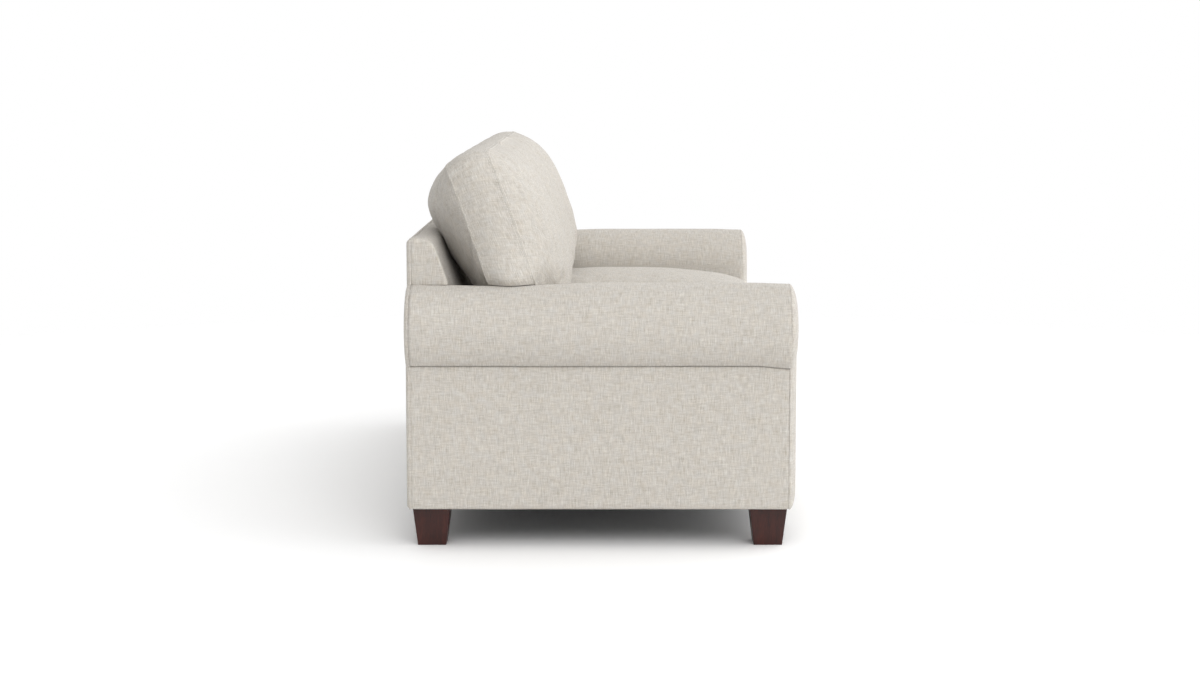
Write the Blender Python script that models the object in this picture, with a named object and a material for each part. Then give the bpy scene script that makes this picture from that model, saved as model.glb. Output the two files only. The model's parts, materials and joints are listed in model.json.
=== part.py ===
"""Three-seat rolled arm sofa, built piece by piece as it is upholstered.

Metres, +Z up. The front faces -Y and +X is to the right as seen from the front.
The origin is on the floor under the middle of the sofa.
"""
from math import acos, copysign, cos, exp, pi, radians, sin, sqrt, tan

import bmesh
import bpy
from mathutils import Vector

# Whole sofa
WIDTH = 2.160
DEPTH = 0.970
TOUCH = 0.0003          # gap left between pieces that touch
CUT_OVERRUN = 0.020     # how far a cutter runs past what it cuts
SHARP_ANGLE = radians(35)  # a fold sharper than this stays a crisp edge

# Arms
ARM_WIDTH = 0.220       # also the diameter of the roll
ARM_HEIGHT = 0.655      # crest of the roll above the floor
ROLL_OVERHANG = 0.045   # how far the roll stands out past the outside arm
ROLL_SEGMENTS = 26

# Padding and covers
PAD = 0.022             # foam and cover on the arms and the back
COVER = 0.012           # lined cover on the outside faces
FRONT_PAD = 0.021       # padded front panels
FRONT_DOME = 0.072      # how far in from its rim a front panel is still rising
FRONT_DOME_STEPS = 6
COVER_EDGE = 0.003      # rounding of a cover's turned edges
COVER_WRAP = 0.002      # how far covers reach below the frame

# Back
BACK_RISE = 0.113       # above the crest of the arms
BACK_PANEL_OFFSET = 0.010  # how far outside the roll's crest the end panels stand
BACK_THICKNESS = 0.105  # inside back to rear face, measured at the arm's crest
BACK_RAKE = radians(20)
BACK_TOP_ROUND = 0.036
BACK_TOP_STEPS = 6
OUTSIDE_BACK_DROP = 0.002
OUTSIDE_BACK_ROUND = 0.009

# Seat
DECK_HEIGHT = 0.335
DECK_THICKNESS = 0.017
BORDER_SETBACK = 0.006
BORDER_ROUND = 0.008
BORDER_STEPS = 4

# Wooden frame
FRAME_CLEARANCE = 0.100  # underside of the rails above the floor
BOARD = 0.025
SIDE_RAIL_HEIGHT = 0.150
SEAT_RAIL_THICKNESS = 0.050
SEAT_RAIL_FRONT = 0.010  # how far the rear seat rail reaches under the deck
INNER_RAIL_DROP = 0.095  # inner arm rail, below and above the deck
INNER_RAIL_RISE = 0.065
ROLL_RAIL_WIDTH = 0.100
ROLL_RAIL_THICKNESS = 0.020
STRETCHER_WIDTH = 0.045
STRETCHER_HEIGHT = 0.060
STRETCHER_MARGIN = 0.430 # middle of the outer stretchers in from the sides of the seat
CORNER_BLOCK = 0.090
CORNER_BLOCK_HEIGHT = 0.050
CORNER_BLOCK_CHAMFER = 0.045
UPRIGHT_MARGIN = 0.570   # middle of the uprights in from the sides of the seat
WING_BOARD_START = 0.055  # below the crest of the roll, before the saddle is cut
TOP_RAIL_HEIGHT = 0.030
WOOD_EDGE = 0.0015

# Dust cover
DUST_COVER = 0.0015
DUST_COVER_MARGIN = 0.010

# Legs
LEG_TOP = 0.094
LEG_FOOT = 0.071
LEG_EDGE = 0.002
LEG_INSET_SIDE = 0.030   # leg's outer face in from the outside arm
LEG_INSET_FRONT = 0.022
LEG_INSET_REAR = 0.012
CENTRE_FOOT_TOP = 0.044
CENTRE_FOOT_SOLE = 0.036

# Springs and webs
SPRING_COUNT = 6
SPRING_MARGIN = 0.185    # middle of the outer springs in from the sides of the seat
SPRING_WIRE = 0.0036
SPRING_WIDTH = 0.050
SPRING_WAVES = 12
SPRING_POINTS_PER_WAVE = 6
SPRING_LEAN = 0.004      # how far the loops lean over, which makes them round
SPRING_END = 0.018       # straight end that the rail clip holds
SPRING_SEAT = 0.022      # spring ends below the top of the rails
SPRING_ARCH = 0.016
WEB_COUNT = 3
WEB_WIDTH = 0.070
WEB_THICKNESS = 0.002
WEB_MARGIN = 0.285       # middle of the outer webs in from the sides of the seat

# Seat cushions
CUSHION_COUNT = 3
CUSHION_GAP = 0.002
SEAT_CUSHION_SETBACK = 0.001
SEAT_BOXING = 0.165
SEAT_CROWN = 0.040
SEAT_ROUND_SHARE = 0.39     # 0.5 is an ellipse, less is flatter in the middle
SEAT_DRAW_SHARE = 0.012
SEAT_BULGE = 0.006          # how far the boxing stands out half way between its seams

# Back cushions
BACK_CUSHION_OVERHANG = 0.112  # how far the outer cushions reach out over the arms
BACK_CUSHION_HEIGHT = 0.479
BACK_CUSHION_RAKE = radians(20)
BACK_CUSHION_FOOT = 0.295   # middle of the boxing in from the rear face, at seat level
BACK_CUSHION_SINK = 0.004   # how far the cushion settles on the seat
BACK_BOXING = 0.094
BACK_FRONT_CROWN = 0.112
BACK_REAR_CROWN = 0.122
BACK_ROUND_TOP_SHARE = 0.46
BACK_ROUND_FOOT_SHARE = 0.30
BACK_ROUND_SIDE_SHARE = 0.50
REAR_SIDE_SHARE = 0.90      # the rear panel leaves its side seams at an angle
REAR_MIDDLE_SHARE = 0.62    # how full the rear panel is half way up, where it hollows towards its foot
REAR_SLOPE_SHARE = 0.60     # how quickly it fills out above that
BACK_DRAW_SHARE = 0.020
BACK_BULGE = 0.014
BACK_BELLY = 0.045          # how far the foot of an outer cushion swells out over the arm
BACK_BELLY_HEIGHT = 0.075
BACK_BELLY_START = 0.030    # where that begins, in from the side of the seat
BACK_BELLY_WIDTH = 0.060
REAR_TUCK_HEIGHT = 0.090    # over an arm the rear panel is drawn in below this height above the arm
CUSHION_CLEARANCE = 0.002
SEAT_CORNER_POWER = 14      # higher is a squarer corner
BACK_CORNER_POWER = 9
CELLS_ACROSS = 14
CELLS_DEEP = 12
CELLS_BOXING = 3
FACE_SHARE = 0.999          # past this share of the boxing a point lies on a face of the cushion

# Places worked out from the sizes above
END_X = WIDTH / 2
PANEL_X = END_X - ROLL_OVERHANG
SEAT_X = END_X - ARM_WIDTH
ROLL_RADIUS = ARM_WIDTH / 2
ROLL_X = END_X - ROLL_RADIUS
ROLL_Z = ARM_HEIGHT - ROLL_RADIUS
FRONT_Y = -DEPTH / 2
REAR_Y = DEPTH / 2
SEAM_Y = FRONT_Y + FRONT_PAD
FRAME_FRONT_Y = SEAM_Y + TOUCH
FRAME_REAR_Y = REAR_Y - COVER - TOUCH
FRAME_X = PANEL_X - COVER - TOUCH
ARM_FRAME_X = SEAT_X + PAD + TOUCH
COVER_BOTTOM = FRAME_CLEARANCE - COVER_WRAP
RAIL_TOP = DECK_HEIGHT - DECK_THICKNESS - TOUCH
SEAT_LEVEL = RAIL_TOP + TOUCH
LEG_HEIGHT = FRAME_CLEARANCE - DUST_COVER - TOUCH - TOUCH
BACK_HEIGHT = ARM_HEIGHT + BACK_RISE
TOP_RAIL_TOP = BACK_HEIGHT - PAD - TOUCH
TOP_RAIL_FOOT = TOP_RAIL_TOP - TOP_RAIL_HEIGHT
BACK_X = ROLL_X + BACK_PANEL_OFFSET
BACK_FRAME_X = BACK_X - COVER - TOUCH
SIDES = (("left", -1), ("right", 1))
PLACES = (("left", -1), ("centre", 0), ("right", 1))


def clear_scene():
    for thing in list(bpy.data.objects):
        bpy.data.objects.remove(thing, do_unlink=True)


def finish(name, colour, roughness, metallic=0.0):
    """A plain material in the piece's own colour."""
    material = bpy.data.materials.new(name)
    material.use_nodes = True
    shader = material.node_tree.nodes["Principled BSDF"]
    shader.inputs["Base Color"].default_value = (*colour, 1)
    shader.inputs["Roughness"].default_value = roughness
    shader.inputs["Metallic"].default_value = metallic
    return material


def add_mesh(name, bm, material):
    """Close the bmesh into an object of its own, with its faces pointing out."""
    bmesh.ops.recalc_face_normals(bm, faces=bm.faces)
    mesh = bpy.data.meshes.new(name)
    bm.to_mesh(mesh)
    bm.free()
    if material:
        mesh.materials.append(material)
    mesh.shade_smooth()
    mesh.set_sharp_from_angle(angle=SHARP_ANGLE)
    thing = bpy.data.objects.new(name, mesh)
    bpy.context.scene.collection.objects.link(thing)
    return thing


def block(name, low, high, material, edge=0.0, steps=1):
    """A board between two corners, with its edges eased."""
    bm = bmesh.new()
    bmesh.ops.create_cube(bm, size=1)
    size = [top - foot for foot, top in zip(low, high)]
    middle = [(top + foot) / 2 for foot, top in zip(low, high)]
    bmesh.ops.scale(bm, vec=size, verts=bm.verts)
    bmesh.ops.translate(bm, vec=middle, verts=bm.verts)
    if edge:
        bmesh.ops.bevel(bm, geom=bm.edges, offset=edge, segments=steps, profile=0.5, affect="EDGES")
    return add_mesh(name, bm, material)


def place_side(point, low):
    """A point of a side view, (y, z), at x = low."""
    return Vector((low, point[0], point[1]))


def place_front(point, low):
    """A point of a front view, (x, z), at y = low."""
    return Vector((point[0], low, point[1]))


def place_plan(point, low):
    """A point of a plan, (x, y), at z = low."""
    return Vector((point[0], point[1], low))


def prism(name, outline, place, low, high, material, edge=0.0, steps=2):
    """Extrude an outline from low to high; edge rounds the rim of the high end."""
    bm = bmesh.new()
    face = bm.faces.new([bm.verts.new(place(point, low)) for point in outline])
    pushed = bmesh.ops.extrude_face_region(bm, geom=[face], use_keep_orig=True)["geom"]
    moved = [item for item in pushed if isinstance(item, bmesh.types.BMVert)]
    bmesh.ops.translate(bm, vec=place((0, 0), high) - place((0, 0), low), verts=moved)
    if edge:
        rim = {item for vert in moved for item in vert.link_edges if item.other_vert(vert) in moved}
        bmesh.ops.bevel(bm, geom=list(rim), offset=edge, segments=steps, profile=0.5, affect="EDGES")
    return add_mesh(name, bm, material)


def loft(name, rings, material):
    """Skin a row of rings that have the same number of points, and close both ends."""
    bm = bmesh.new()
    loops = []
    for ring in rings:
        verts = [bm.verts.new(point) for point in ring]
        loops.append([bm.edges.new(pair) for pair in zip(verts, verts[1:] + verts[:1])])
        if ring is rings[0] or ring is rings[-1]:
            bm.faces.new(verts)
    for first, second in zip(loops, loops[1:]):
        bmesh.ops.bridge_loops(bm, edges=first + second)
    return add_mesh(name, bm, material)


def guide(cutter):
    """Mark an object as a cutter, which is no part of the sofa."""
    cutter.hide_render = True
    cutter.display_type = "WIRE"
    return cutter


def cut(thing, cutter):
    """Take the cutter's shape out of a piece."""
    step = thing.modifiers.new("saddle " + cutter.name, "BOOLEAN")
    step.operation = "DIFFERENCE"
    step.solver = "EXACT"
    step.object = cutter


def arc(centre, radius, start, end, segments):
    """Points on a circle, from one angle to another."""
    turn = (end - start) / segments
    angles = [start + turn * step for step in range(segments + 1)]
    return [(centre[0] + radius * cos(angle), centre[1] + radius * sin(angle)) for angle in angles]


def scroll(inset, foot):
    """Front view of an arm: a straight inner side, the roll and the neck under its outer side."""
    radius = ROLL_RADIUS - inset
    neck = acos((PANEL_X - inset - ROLL_X) / radius)
    outline = [(PANEL_X - inset, foot)]
    outline += arc((ROLL_X, ROLL_Z), radius, -neck, pi, ROLL_SEGMENTS)
    outline += [(ROLL_X - radius, foot)]
    return outline


def mirrored(outline, side):
    return [(side * x, z) for x, z in outline]


def back_face(height, inset=0.0):
    """How far back the inside back is at a height, or a layer that lies this deep under it."""
    crest = REAR_Y - BACK_THICKNESS
    return crest + (height - ARM_HEIGHT) * tan(BACK_RAKE) + inset / cos(BACK_RAKE)


def back_crest():
    """Side view of the top of the back: raked face, soft front edge and level top."""
    slope = pi / 2 - BACK_RAKE
    run = BACK_TOP_ROUND * tan(slope / 2)
    corner = back_face(BACK_HEIGHT)
    centre = (corner + run, BACK_HEIGHT - BACK_TOP_ROUND)
    return arc(centre, BACK_TOP_ROUND, pi / 2 + slope, pi / 2, BACK_TOP_STEPS)


def seat_cushion_size():
    """Width of one seat cushion: what the arms leave, shared by the cushions."""
    return (2 * SEAT_X - (CUSHION_COUNT + 1) * CUSHION_GAP) / CUSHION_COUNT


def back_cushion_size():
    """Width of one back cushion."""
    return (2 * (SEAT_X + BACK_CUSHION_OVERHANG) - (CUSHION_COUNT - 1) * CUSHION_GAP) / CUSHION_COUNT


def seat_top(share):
    """Side view of the seat's crown, from -1 at the front to 1 at the rear."""
    seam = DECK_HEIGHT + TOUCH + SEAT_BOXING
    height = seam + SEAT_CROWN * (1 - share ** 2) ** SEAT_ROUND_SHARE
    front = FRONT_Y + SEAT_CUSHION_SETBACK
    rear = back_face(height) - CUSHION_CLEARANCE
    return front + (rear - front) * (share + 1) / 2, height


def rest_plane(depth):
    """The sloping plane between seat and back cushions: it touches the crown of the seat."""
    step_share = 0.01
    reach_share = 0.40
    near = seat_top(reach_share)
    far = seat_top(reach_share + step_share)
    slope = (far[1] - near[1]) / (far[0] - near[0])
    return near[1] + slope * (depth - near[0])


def cushion_grid():
    """A cube cut into cells that are finer towards its edges, like a pillow's seams."""
    bm = bmesh.new()
    bmesh.ops.create_cube(bm, size=2)
    for axis, cells in enumerate((CELLS_ACROSS, CELLS_DEEP, CELLS_BOXING)):
        along = [edge for edge in bm.edges if abs(edge.verts[0].co[axis] - edge.verts[1].co[axis]) > 1]
        bmesh.ops.subdivide_edges(bm, edges=along, cuts=cells - 1, use_grid_fill=True)
    for vert in bm.verts:
        vert.co.x = sin(vert.co.x * pi / 2)
        vert.co.y = sin(vert.co.y * pi / 2)
    return bm


def soften(across, deep, draw, power):
    """Round a square's corners and draw its sides in between them."""
    longest = max(abs(across), abs(deep))
    if not longest:
        return 0.0, 0.0
    norm = (abs(across) ** power + abs(deep) ** power) ** (1 / power)
    pull = longest / norm
    return (across * pull * (1 - draw * (1 - deep ** 2) * across ** 2),
            deep * pull * (1 - draw * (1 - across ** 2) * deep ** 2))


def seat_cushion(name, middle, material):
    """A boxed cushion with a crowned top and a flat underside."""
    bm = cushion_grid()
    half = seat_cushion_size() / 2
    front = FRONT_Y + SEAT_CUSHION_SETBACK
    for vert in bm.verts:
        across, deep, up = vert.co
        crown = SEAT_CROWN * ((1 - across ** 2) * (1 - deep ** 2)) ** SEAT_ROUND_SHARE
        height = DECK_HEIGHT + TOUCH + SEAT_BOXING * (up + 1) / 2
        if up > FACE_SHARE:
            height += crown
        x, y = soften(across, deep, SEAT_DRAW_SHARE, SEAT_CORNER_POWER)
        pull = SEAT_BULGE * up ** 2
        rear = back_face(height) - CUSHION_CLEARANCE
        x *= half - pull
        y = front + pull + (rear - pull - front - pull) * (y + 1) / 2
        vert.co = (middle + x, y, height)
    return add_mesh(name, bm, material)


def over_arm(x):
    """How much a point of a cushion lies over an arm, from 0 to 1."""
    return min(max((abs(x) - SEAT_X + BACK_BELLY_START) / BACK_BELLY_WIDTH, 0), 1)


def back_cushion(name, place, material):
    """A plump boxed cushion that leans on the back and sits on the seat cushions."""
    bm = cushion_grid()
    width = back_cushion_size()
    half = width / 2
    middle = place * (width + CUSHION_GAP)
    foot_y = REAR_Y - BACK_CUSHION_FOOT
    foot_z = rest_plane(foot_y) - BACK_CUSHION_SINK
    for vert in bm.verts:
        across, deep, up = vert.co
        x, rise = soften(across, deep, BACK_DRAW_SHARE, BACK_CORNER_POWER)
        pull = BACK_BULGE * up ** 2
        x = middle + x * (half - pull)
        rise = (rise + 1) / 2 * (BACK_CUSHION_HEIGHT - pull)
        forward = BACK_BOXING / 2 * up
        above = max(foot_z + rise * cos(BACK_CUSHION_RAKE) + forward * sin(BACK_CUSHION_RAKE) - ARM_HEIGHT, 0)
        lying = over_arm(x)
        rounding = (1 - deep ** 2) ** (BACK_ROUND_TOP_SHARE if deep > 0 else BACK_ROUND_FOOT_SHARE)
        if up > FACE_SHARE:
            forward += BACK_FRONT_CROWN * rounding * (1 - across ** 2) ** BACK_ROUND_SIDE_SHARE
        if up < -FACE_SHARE:
            swell = max(1 - across ** 2, 0) ** REAR_SIDE_SHARE
            fullness = min(max(REAR_MIDDLE_SHARE + REAR_SLOPE_SHARE * deep, 0), 1)
            drawn = 1 - min(above / REAR_TUCK_HEIGHT, 1)
            forward -= BACK_REAR_CROWN * rounding * swell * fullness * (1 - lying * drawn)
        x += copysign(BACK_BELLY * lying * exp(-(above / BACK_BELLY_HEIGHT) ** 2), x)
        y = foot_y + rise * sin(BACK_CUSHION_RAKE) - forward * cos(BACK_CUSHION_RAKE)
        z = foot_z + rise * cos(BACK_CUSHION_RAKE) + forward * sin(BACK_CUSHION_RAKE)
        z = max(z, rest_plane(y) + TOUCH)
        vert.co = (x, y, z)
    return add_mesh(name, bm, material)


def leg(name, middle, material):
    """A square leg that tapers evenly down to its foot."""
    bm = bmesh.new()
    bmesh.ops.create_cube(bm, size=1)
    for vert in bm.verts:
        width = LEG_TOP if vert.co.z > 0 else LEG_FOOT
        height = LEG_HEIGHT if vert.co.z > 0 else 0
        vert.co = (vert.co.x * width, vert.co.y * width, height)
    upright = [edge for edge in bm.edges if edge.verts[0].co.z != edge.verts[1].co.z]
    bmesh.ops.bevel(bm, geom=upright, offset=LEG_EDGE, segments=2, profile=0.5, affect="EDGES")
    thing = add_mesh(name, bm, material)
    thing.location = (middle[0], middle[1], 0)
    return thing


def spring_points(middle):
    """A zigzag wire: loops swing from side to side, and the spring arches up in the middle."""
    front = FRAME_FRONT_Y + BOARD + TOUCH
    rear = rear_seat_rail_front() - TOUCH
    start = front + SPRING_END
    end = rear - SPRING_END
    end_height = RAIL_TOP - SPRING_SEAT
    count = SPRING_WAVES * SPRING_POINTS_PER_WAVE
    points = [(middle, front, end_height)]
    for step in range(count + 1):
        share = step / count
        turn = 2 * pi * SPRING_WAVES * share
        swing = SPRING_WIDTH / 2 * sin(turn)
        lean = SPRING_LEAN * sin(2 * turn)
        height = end_height + SPRING_ARCH * sin(pi * share)
        points.append((middle + swing, start + (end - start) * share - lean, height))
    points.append((middle, rear, end_height))
    return points


def wire(name, points, diameter, material):
    """A round wire along a row of points, with closed ends."""
    curve = bpy.data.curves.new(name, "CURVE")
    curve.dimensions = "3D"
    curve.bevel_depth = diameter / 2
    curve.bevel_resolution = 0
    curve.use_fill_caps = True
    spline = curve.splines.new("POLY")
    spline.points.add(len(points) - 1)
    for target, point in zip(spline.points, points):
        target.co = (*point, 1)
    curve.materials.append(material)
    thing = bpy.data.objects.new(name, curve)
    bpy.context.scene.collection.objects.link(thing)
    return thing


def rear_seat_rail_front():
    """Front face of the rear seat rail: it reaches a little way under the deck."""
    return back_face(SEAT_LEVEL) - SEAT_RAIL_FRONT


def back_space(name):
    """The space the back takes up and a clearance in front of it, cut out of the cushions."""
    outline = [(back_face(SEAT_LEVEL), SEAT_LEVEL)] + back_crest()
    outline += [(REAR_Y + CUT_OVERRUN, BACK_HEIGHT), (REAR_Y + CUT_OVERRUN, SEAT_LEVEL)]
    moved = [(y - CUSHION_CLEARANCE / cos(BACK_RAKE), z) for y, z in outline]
    return guide(prism(name, moved, place_side, -END_X, END_X, None))


def arm_space(name, side, clearance):
    """The space an arm takes up and a clearance round it, cut out of the pieces over it."""
    reach = END_X + CUT_OVERRUN
    radius = ROLL_RADIUS + clearance
    outline = [(ROLL_X - radius, FRAME_CLEARANCE)]
    outline += arc((ROLL_X, ROLL_Z), radius, pi, 0, ROLL_SEGMENTS)
    outline += [(reach, ROLL_Z), (reach, FRAME_CLEARANCE)]
    start = FRONT_Y - CUT_OVERRUN
    end = REAR_Y + CUT_OVERRUN
    return guide(prism(name, mirrored(outline, side), place_front, start, end, None))


def arms(fabric, wood):
    """Each arm: two boards and two rails inside, then the roll cover, outside cover and front panel."""
    foot = COVER_BOTTOM
    inset = PAD + TOUCH
    for label, side in SIDES:
        inner_radius = ROLL_RADIUS - PAD
        turn = acos((PANEL_X - COVER - ROLL_X) / inner_radius)
        roll = arc((ROLL_X, ROLL_Z), ROLL_RADIUS, pi, -turn, ROLL_SEGMENTS)
        lining = arc((ROLL_X, ROLL_Z), inner_radius, -turn, pi, ROLL_SEGMENTS)
        outline = [(SEAT_X, SEAT_LEVEL)] + roll + lining + [(SEAT_X + PAD, SEAT_LEVEL)]
        cover = mirrored(outline, side)
        prism(label + "_inside_arm", cover, place_front, FRAME_FRONT_Y, FRAME_REAR_Y, fabric)

        seam = ROLL_Z - ROLL_RADIUS * sin(turn) - TOUCH
        outer = sorted((side * (PANEL_X - COVER), side * PANEL_X))
        low = (outer[0], FRAME_FRONT_Y, foot)
        high = (outer[1], FRAME_REAR_Y, seam)
        block(label + "_outside_arm", low, high, fabric, COVER_EDGE, 2)

        rings = []
        for step in range(FRONT_DOME_STEPS + 1):
            angle = pi / 2 * step / FRONT_DOME_STEPS
            rings.append((FRONT_DOME * (1 - cos(angle)), SEAM_Y - FRONT_PAD * sin(angle)))
        skins = [[place_front(point, depth) for point in mirrored(scroll(shrink, foot + shrink), side)]
                 for shrink, depth in rings]
        loft(label + "_front_arm_panel", skins, fabric)

        boards = arm_board(side, inset)
        prism(label + "_front_arm_board", boards, place_front, FRAME_FRONT_Y, FRAME_FRONT_Y + BOARD, wood)
        prism(label + "_rear_arm_board", boards, place_front, FRAME_REAR_Y - BOARD, FRAME_REAR_Y, wood)

        start = FRAME_FRONT_Y + BOARD + TOUCH
        end = FRAME_REAR_Y - BOARD - TOUCH
        half = ROLL_RAIL_WIDTH / 2
        crown = ROLL_Z + sqrt((ROLL_RADIUS - inset) ** 2 - half ** 2)
        rails(label, side, start, end, crown, wood)


def arm_board(side, inset):
    """Outline of the scroll-shaped board inside each end of an arm."""
    radius = ROLL_RADIUS - inset
    neck = acos((FRAME_X - ROLL_X) / radius)
    outline = [(FRAME_X, FRAME_CLEARANCE)]
    outline += arc((ROLL_X, ROLL_Z), radius, -neck, pi, ROLL_SEGMENTS)
    outline += [(ROLL_X - radius, FRAME_CLEARANCE)]
    return mirrored(outline, side)


def rails(label, side, start, end, crown, wood):
    """The rails that run from the front to the rear of one arm."""
    half = ROLL_RAIL_WIDTH / 2
    spans = (
        ("_arm_roll_rail", ROLL_X - half, ROLL_X + half, crown - ROLL_RAIL_THICKNESS, crown),
        ("_side_rail", FRAME_X - BOARD, FRAME_X, FRAME_CLEARANCE, FRAME_CLEARANCE + SIDE_RAIL_HEIGHT),
        ("_inner_arm_rail", ARM_FRAME_X, ARM_FRAME_X + BOARD,
         SEAT_LEVEL - INNER_RAIL_DROP, SEAT_LEVEL + INNER_RAIL_RISE),
    )
    for ending, near, far, foot, top in spans:
        outer = sorted((side * near, side * far))
        block(label + ending, (outer[0], start, foot), (outer[1], end, top), wood, WOOD_EDGE)


def seat_frame(wood):
    """Rails and stretchers that carry the springs, and the blocks that the legs are screwed to."""
    reach = ARM_FRAME_X - TOUCH
    foot = FRAME_CLEARANCE
    inside = FRAME_FRONT_Y + BOARD + TOUCH
    rail_y = rear_seat_rail_front()
    across = (
        ("front_rail", FRAME_FRONT_Y, FRAME_FRONT_Y + BOARD),
        ("rear_seat_rail", rail_y, rail_y + SEAT_RAIL_THICKNESS),
        ("rear_rail", FRAME_REAR_Y - BOARD, FRAME_REAR_Y),
    )
    for name, near, far in across:
        block(name, (-reach, near, foot), (reach, far, RAIL_TOP), wood, WOOD_EDGE)
    half = STRETCHER_WIDTH / 2
    for label, place in PLACES:
        middle = place * (SEAT_X - STRETCHER_MARGIN)
        low = (middle - half, inside, foot)
        high = (middle + half, rail_y - TOUCH, foot + STRETCHER_HEIGHT)
        block(label + "_stretcher", low, high, wood, WOOD_EDGE)
    for label, side in SIDES:
        outer = FRAME_X - BOARD - TOUCH
        for end, corner, inward in (("front", inside, 1), ("rear", FRAME_REAR_Y - BOARD - TOUCH, -1)):
            outline = [(0, 0), (CORNER_BLOCK, 0), (CORNER_BLOCK, CORNER_BLOCK - CORNER_BLOCK_CHAMFER),
                       (CORNER_BLOCK - CORNER_BLOCK_CHAMFER, CORNER_BLOCK), (0, CORNER_BLOCK)]
            corners = [(side * (outer - x), corner + inward * y) for x, y in outline]
            name = label + "_" + end + "_corner_block"
            prism(name, corners, place_plan, foot, foot + CORNER_BLOCK_HEIGHT, wood)


def back_rib(foot, top):
    """Side view of a board of the back's frame, from the padding in front to the cover behind."""
    inset = PAD + TOUCH
    return [(back_face(foot, inset), foot), (FRAME_REAR_Y, foot),
            (FRAME_REAR_Y, top), (back_face(top, inset), top)]


def back_frame(wood, cutters):
    """Posts, uprights and wing boards under a rail along the top of the back."""
    half = BOARD / 2
    post_top = TOP_RAIL_FOOT - TOUCH
    full = back_rib(RAIL_TOP + TOUCH, post_top)
    short = back_rib(ARM_HEIGHT - WING_BOARD_START, post_top)
    top_rail = back_rib(TOP_RAIL_FOOT, TOP_RAIL_TOP)
    prism("back_top_rail", top_rail, place_side, -BACK_FRAME_X, BACK_FRAME_X, wood)
    for label, side in SIDES:
        post = side * (SEAT_X - TOUCH - half)
        upright = side * (SEAT_X - UPRIGHT_MARGIN)
        wing = side * (BACK_FRAME_X - half)
        prism(label + "_back_post", full, place_side, post - half, post + half, wood)
        prism(label + "_back_upright", full, place_side, upright - half, upright + half, wood)
        board = prism(label + "_back_wing_board", short, place_side, wing - half, wing + half, wood)
        cut(board, cutters[label])


def back_upholstery(fabric, cutters):
    """Inside back pad wrapped over the top, end panels at each side and the outside back."""
    rear = FRAME_REAR_Y
    outline = [(back_face(SEAT_LEVEL), SEAT_LEVEL)] + back_crest() + [(rear, BACK_HEIGHT)]
    under = BACK_HEIGHT - PAD
    lining = [(rear, under), (back_face(under, PAD), under), (back_face(SEAT_LEVEL, PAD), SEAT_LEVEL)]
    pad = prism("inside_back", outline + lining, place_side, -BACK_FRAME_X, BACK_FRAME_X, fabric)
    for label, side in SIDES:
        cut(pad, cutters[label])
        start = ARM_HEIGHT - WING_BOARD_START
        shape = [(back_face(start), start)] + back_crest() + [(rear, BACK_HEIGHT), (rear, start)]
        inner = side * (BACK_X - COVER)
        outer = side * BACK_X
        panel = prism(label + "_back_end_panel", shape, place_side, inner, outer, fabric, COVER_EDGE)
        cut(panel, cutters[label])

    neck = acos((PANEL_X - ROLL_X) / ROLL_RADIUS)
    shoulder = acos((BACK_X - ROLL_X) / ROLL_RADIUS)
    top = BACK_HEIGHT - OUTSIDE_BACK_DROP
    right = [(PANEL_X, COVER_BOTTOM)]
    right += arc((ROLL_X, ROLL_Z), ROLL_RADIUS, -neck, shoulder, ROLL_SEGMENTS)
    right += [(BACK_X, top)]
    left = [(-x, z) for x, z in reversed(right)]
    prism("outside_back", right + left, place_front, REAR_Y - COVER, REAR_Y, fabric, OUTSIDE_BACK_ROUND, 3)


def seat_upholstery(fabric, deck_cloth, dust_cloth):
    """Padded border along the front, deck under the cushions and a cloth under the frame."""
    half = SEAT_X - TOUCH
    bend = FRONT_Y + BORDER_SETBACK + BORDER_ROUND
    quarter = pi / 2
    border = [(SEAM_Y, COVER_BOTTOM), (SEAM_Y, DECK_HEIGHT)]
    border += arc((bend, DECK_HEIGHT - BORDER_ROUND), BORDER_ROUND, quarter, pi, BORDER_STEPS)
    border += arc((bend, COVER_BOTTOM + BORDER_ROUND), BORDER_ROUND, pi, pi + quarter, BORDER_STEPS)
    prism("front_border", border, place_side, -half, half, fabric)
    deck = [(FRAME_FRONT_Y, SEAT_LEVEL), (back_face(SEAT_LEVEL) - TOUCH, SEAT_LEVEL),
            (back_face(DECK_HEIGHT) - TOUCH, DECK_HEIGHT), (FRAME_FRONT_Y, DECK_HEIGHT)]
    prism("seat_deck", deck, place_side, -half, half, deck_cloth)
    reach = FRAME_X - DUST_COVER_MARGIN
    top = FRAME_CLEARANCE - TOUCH
    low = (-reach, FRAME_FRONT_Y + DUST_COVER_MARGIN, top - DUST_COVER)
    high = (reach, FRAME_REAR_Y - DUST_COVER_MARGIN, top)
    block("dust_cover", low, high, dust_cloth)


def spread(number, count, margin):
    """Place of one of a row of equal pieces that fills the seat's width but for a margin at each side."""
    return (SEAT_X - margin) * (2 * number / (count - 1) - 1)


def suspension(steel, webbing):
    """Zigzag springs under the deck and webs up the back."""
    for number in range(SPRING_COUNT):
        middle = spread(number, SPRING_COUNT, SPRING_MARGIN)
        wire("seat_spring_" + str(number + 1), spring_points(middle), SPRING_WIRE, steel)
    inner = PAD + TOUCH
    outer = inner + WEB_THICKNESS
    foot = RAIL_TOP + TOUCH
    top = TOP_RAIL_FOOT - TOUCH
    strip = [(back_face(foot, inner), foot), (back_face(foot, outer), foot),
             (back_face(top, outer), top), (back_face(top, inner), top)]
    for number in range(WEB_COUNT):
        low = spread(number, WEB_COUNT, WEB_MARGIN) - WEB_WIDTH / 2
        prism("back_web_" + str(number + 1), strip, place_side, low, low + WEB_WIDTH, webbing)


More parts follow.
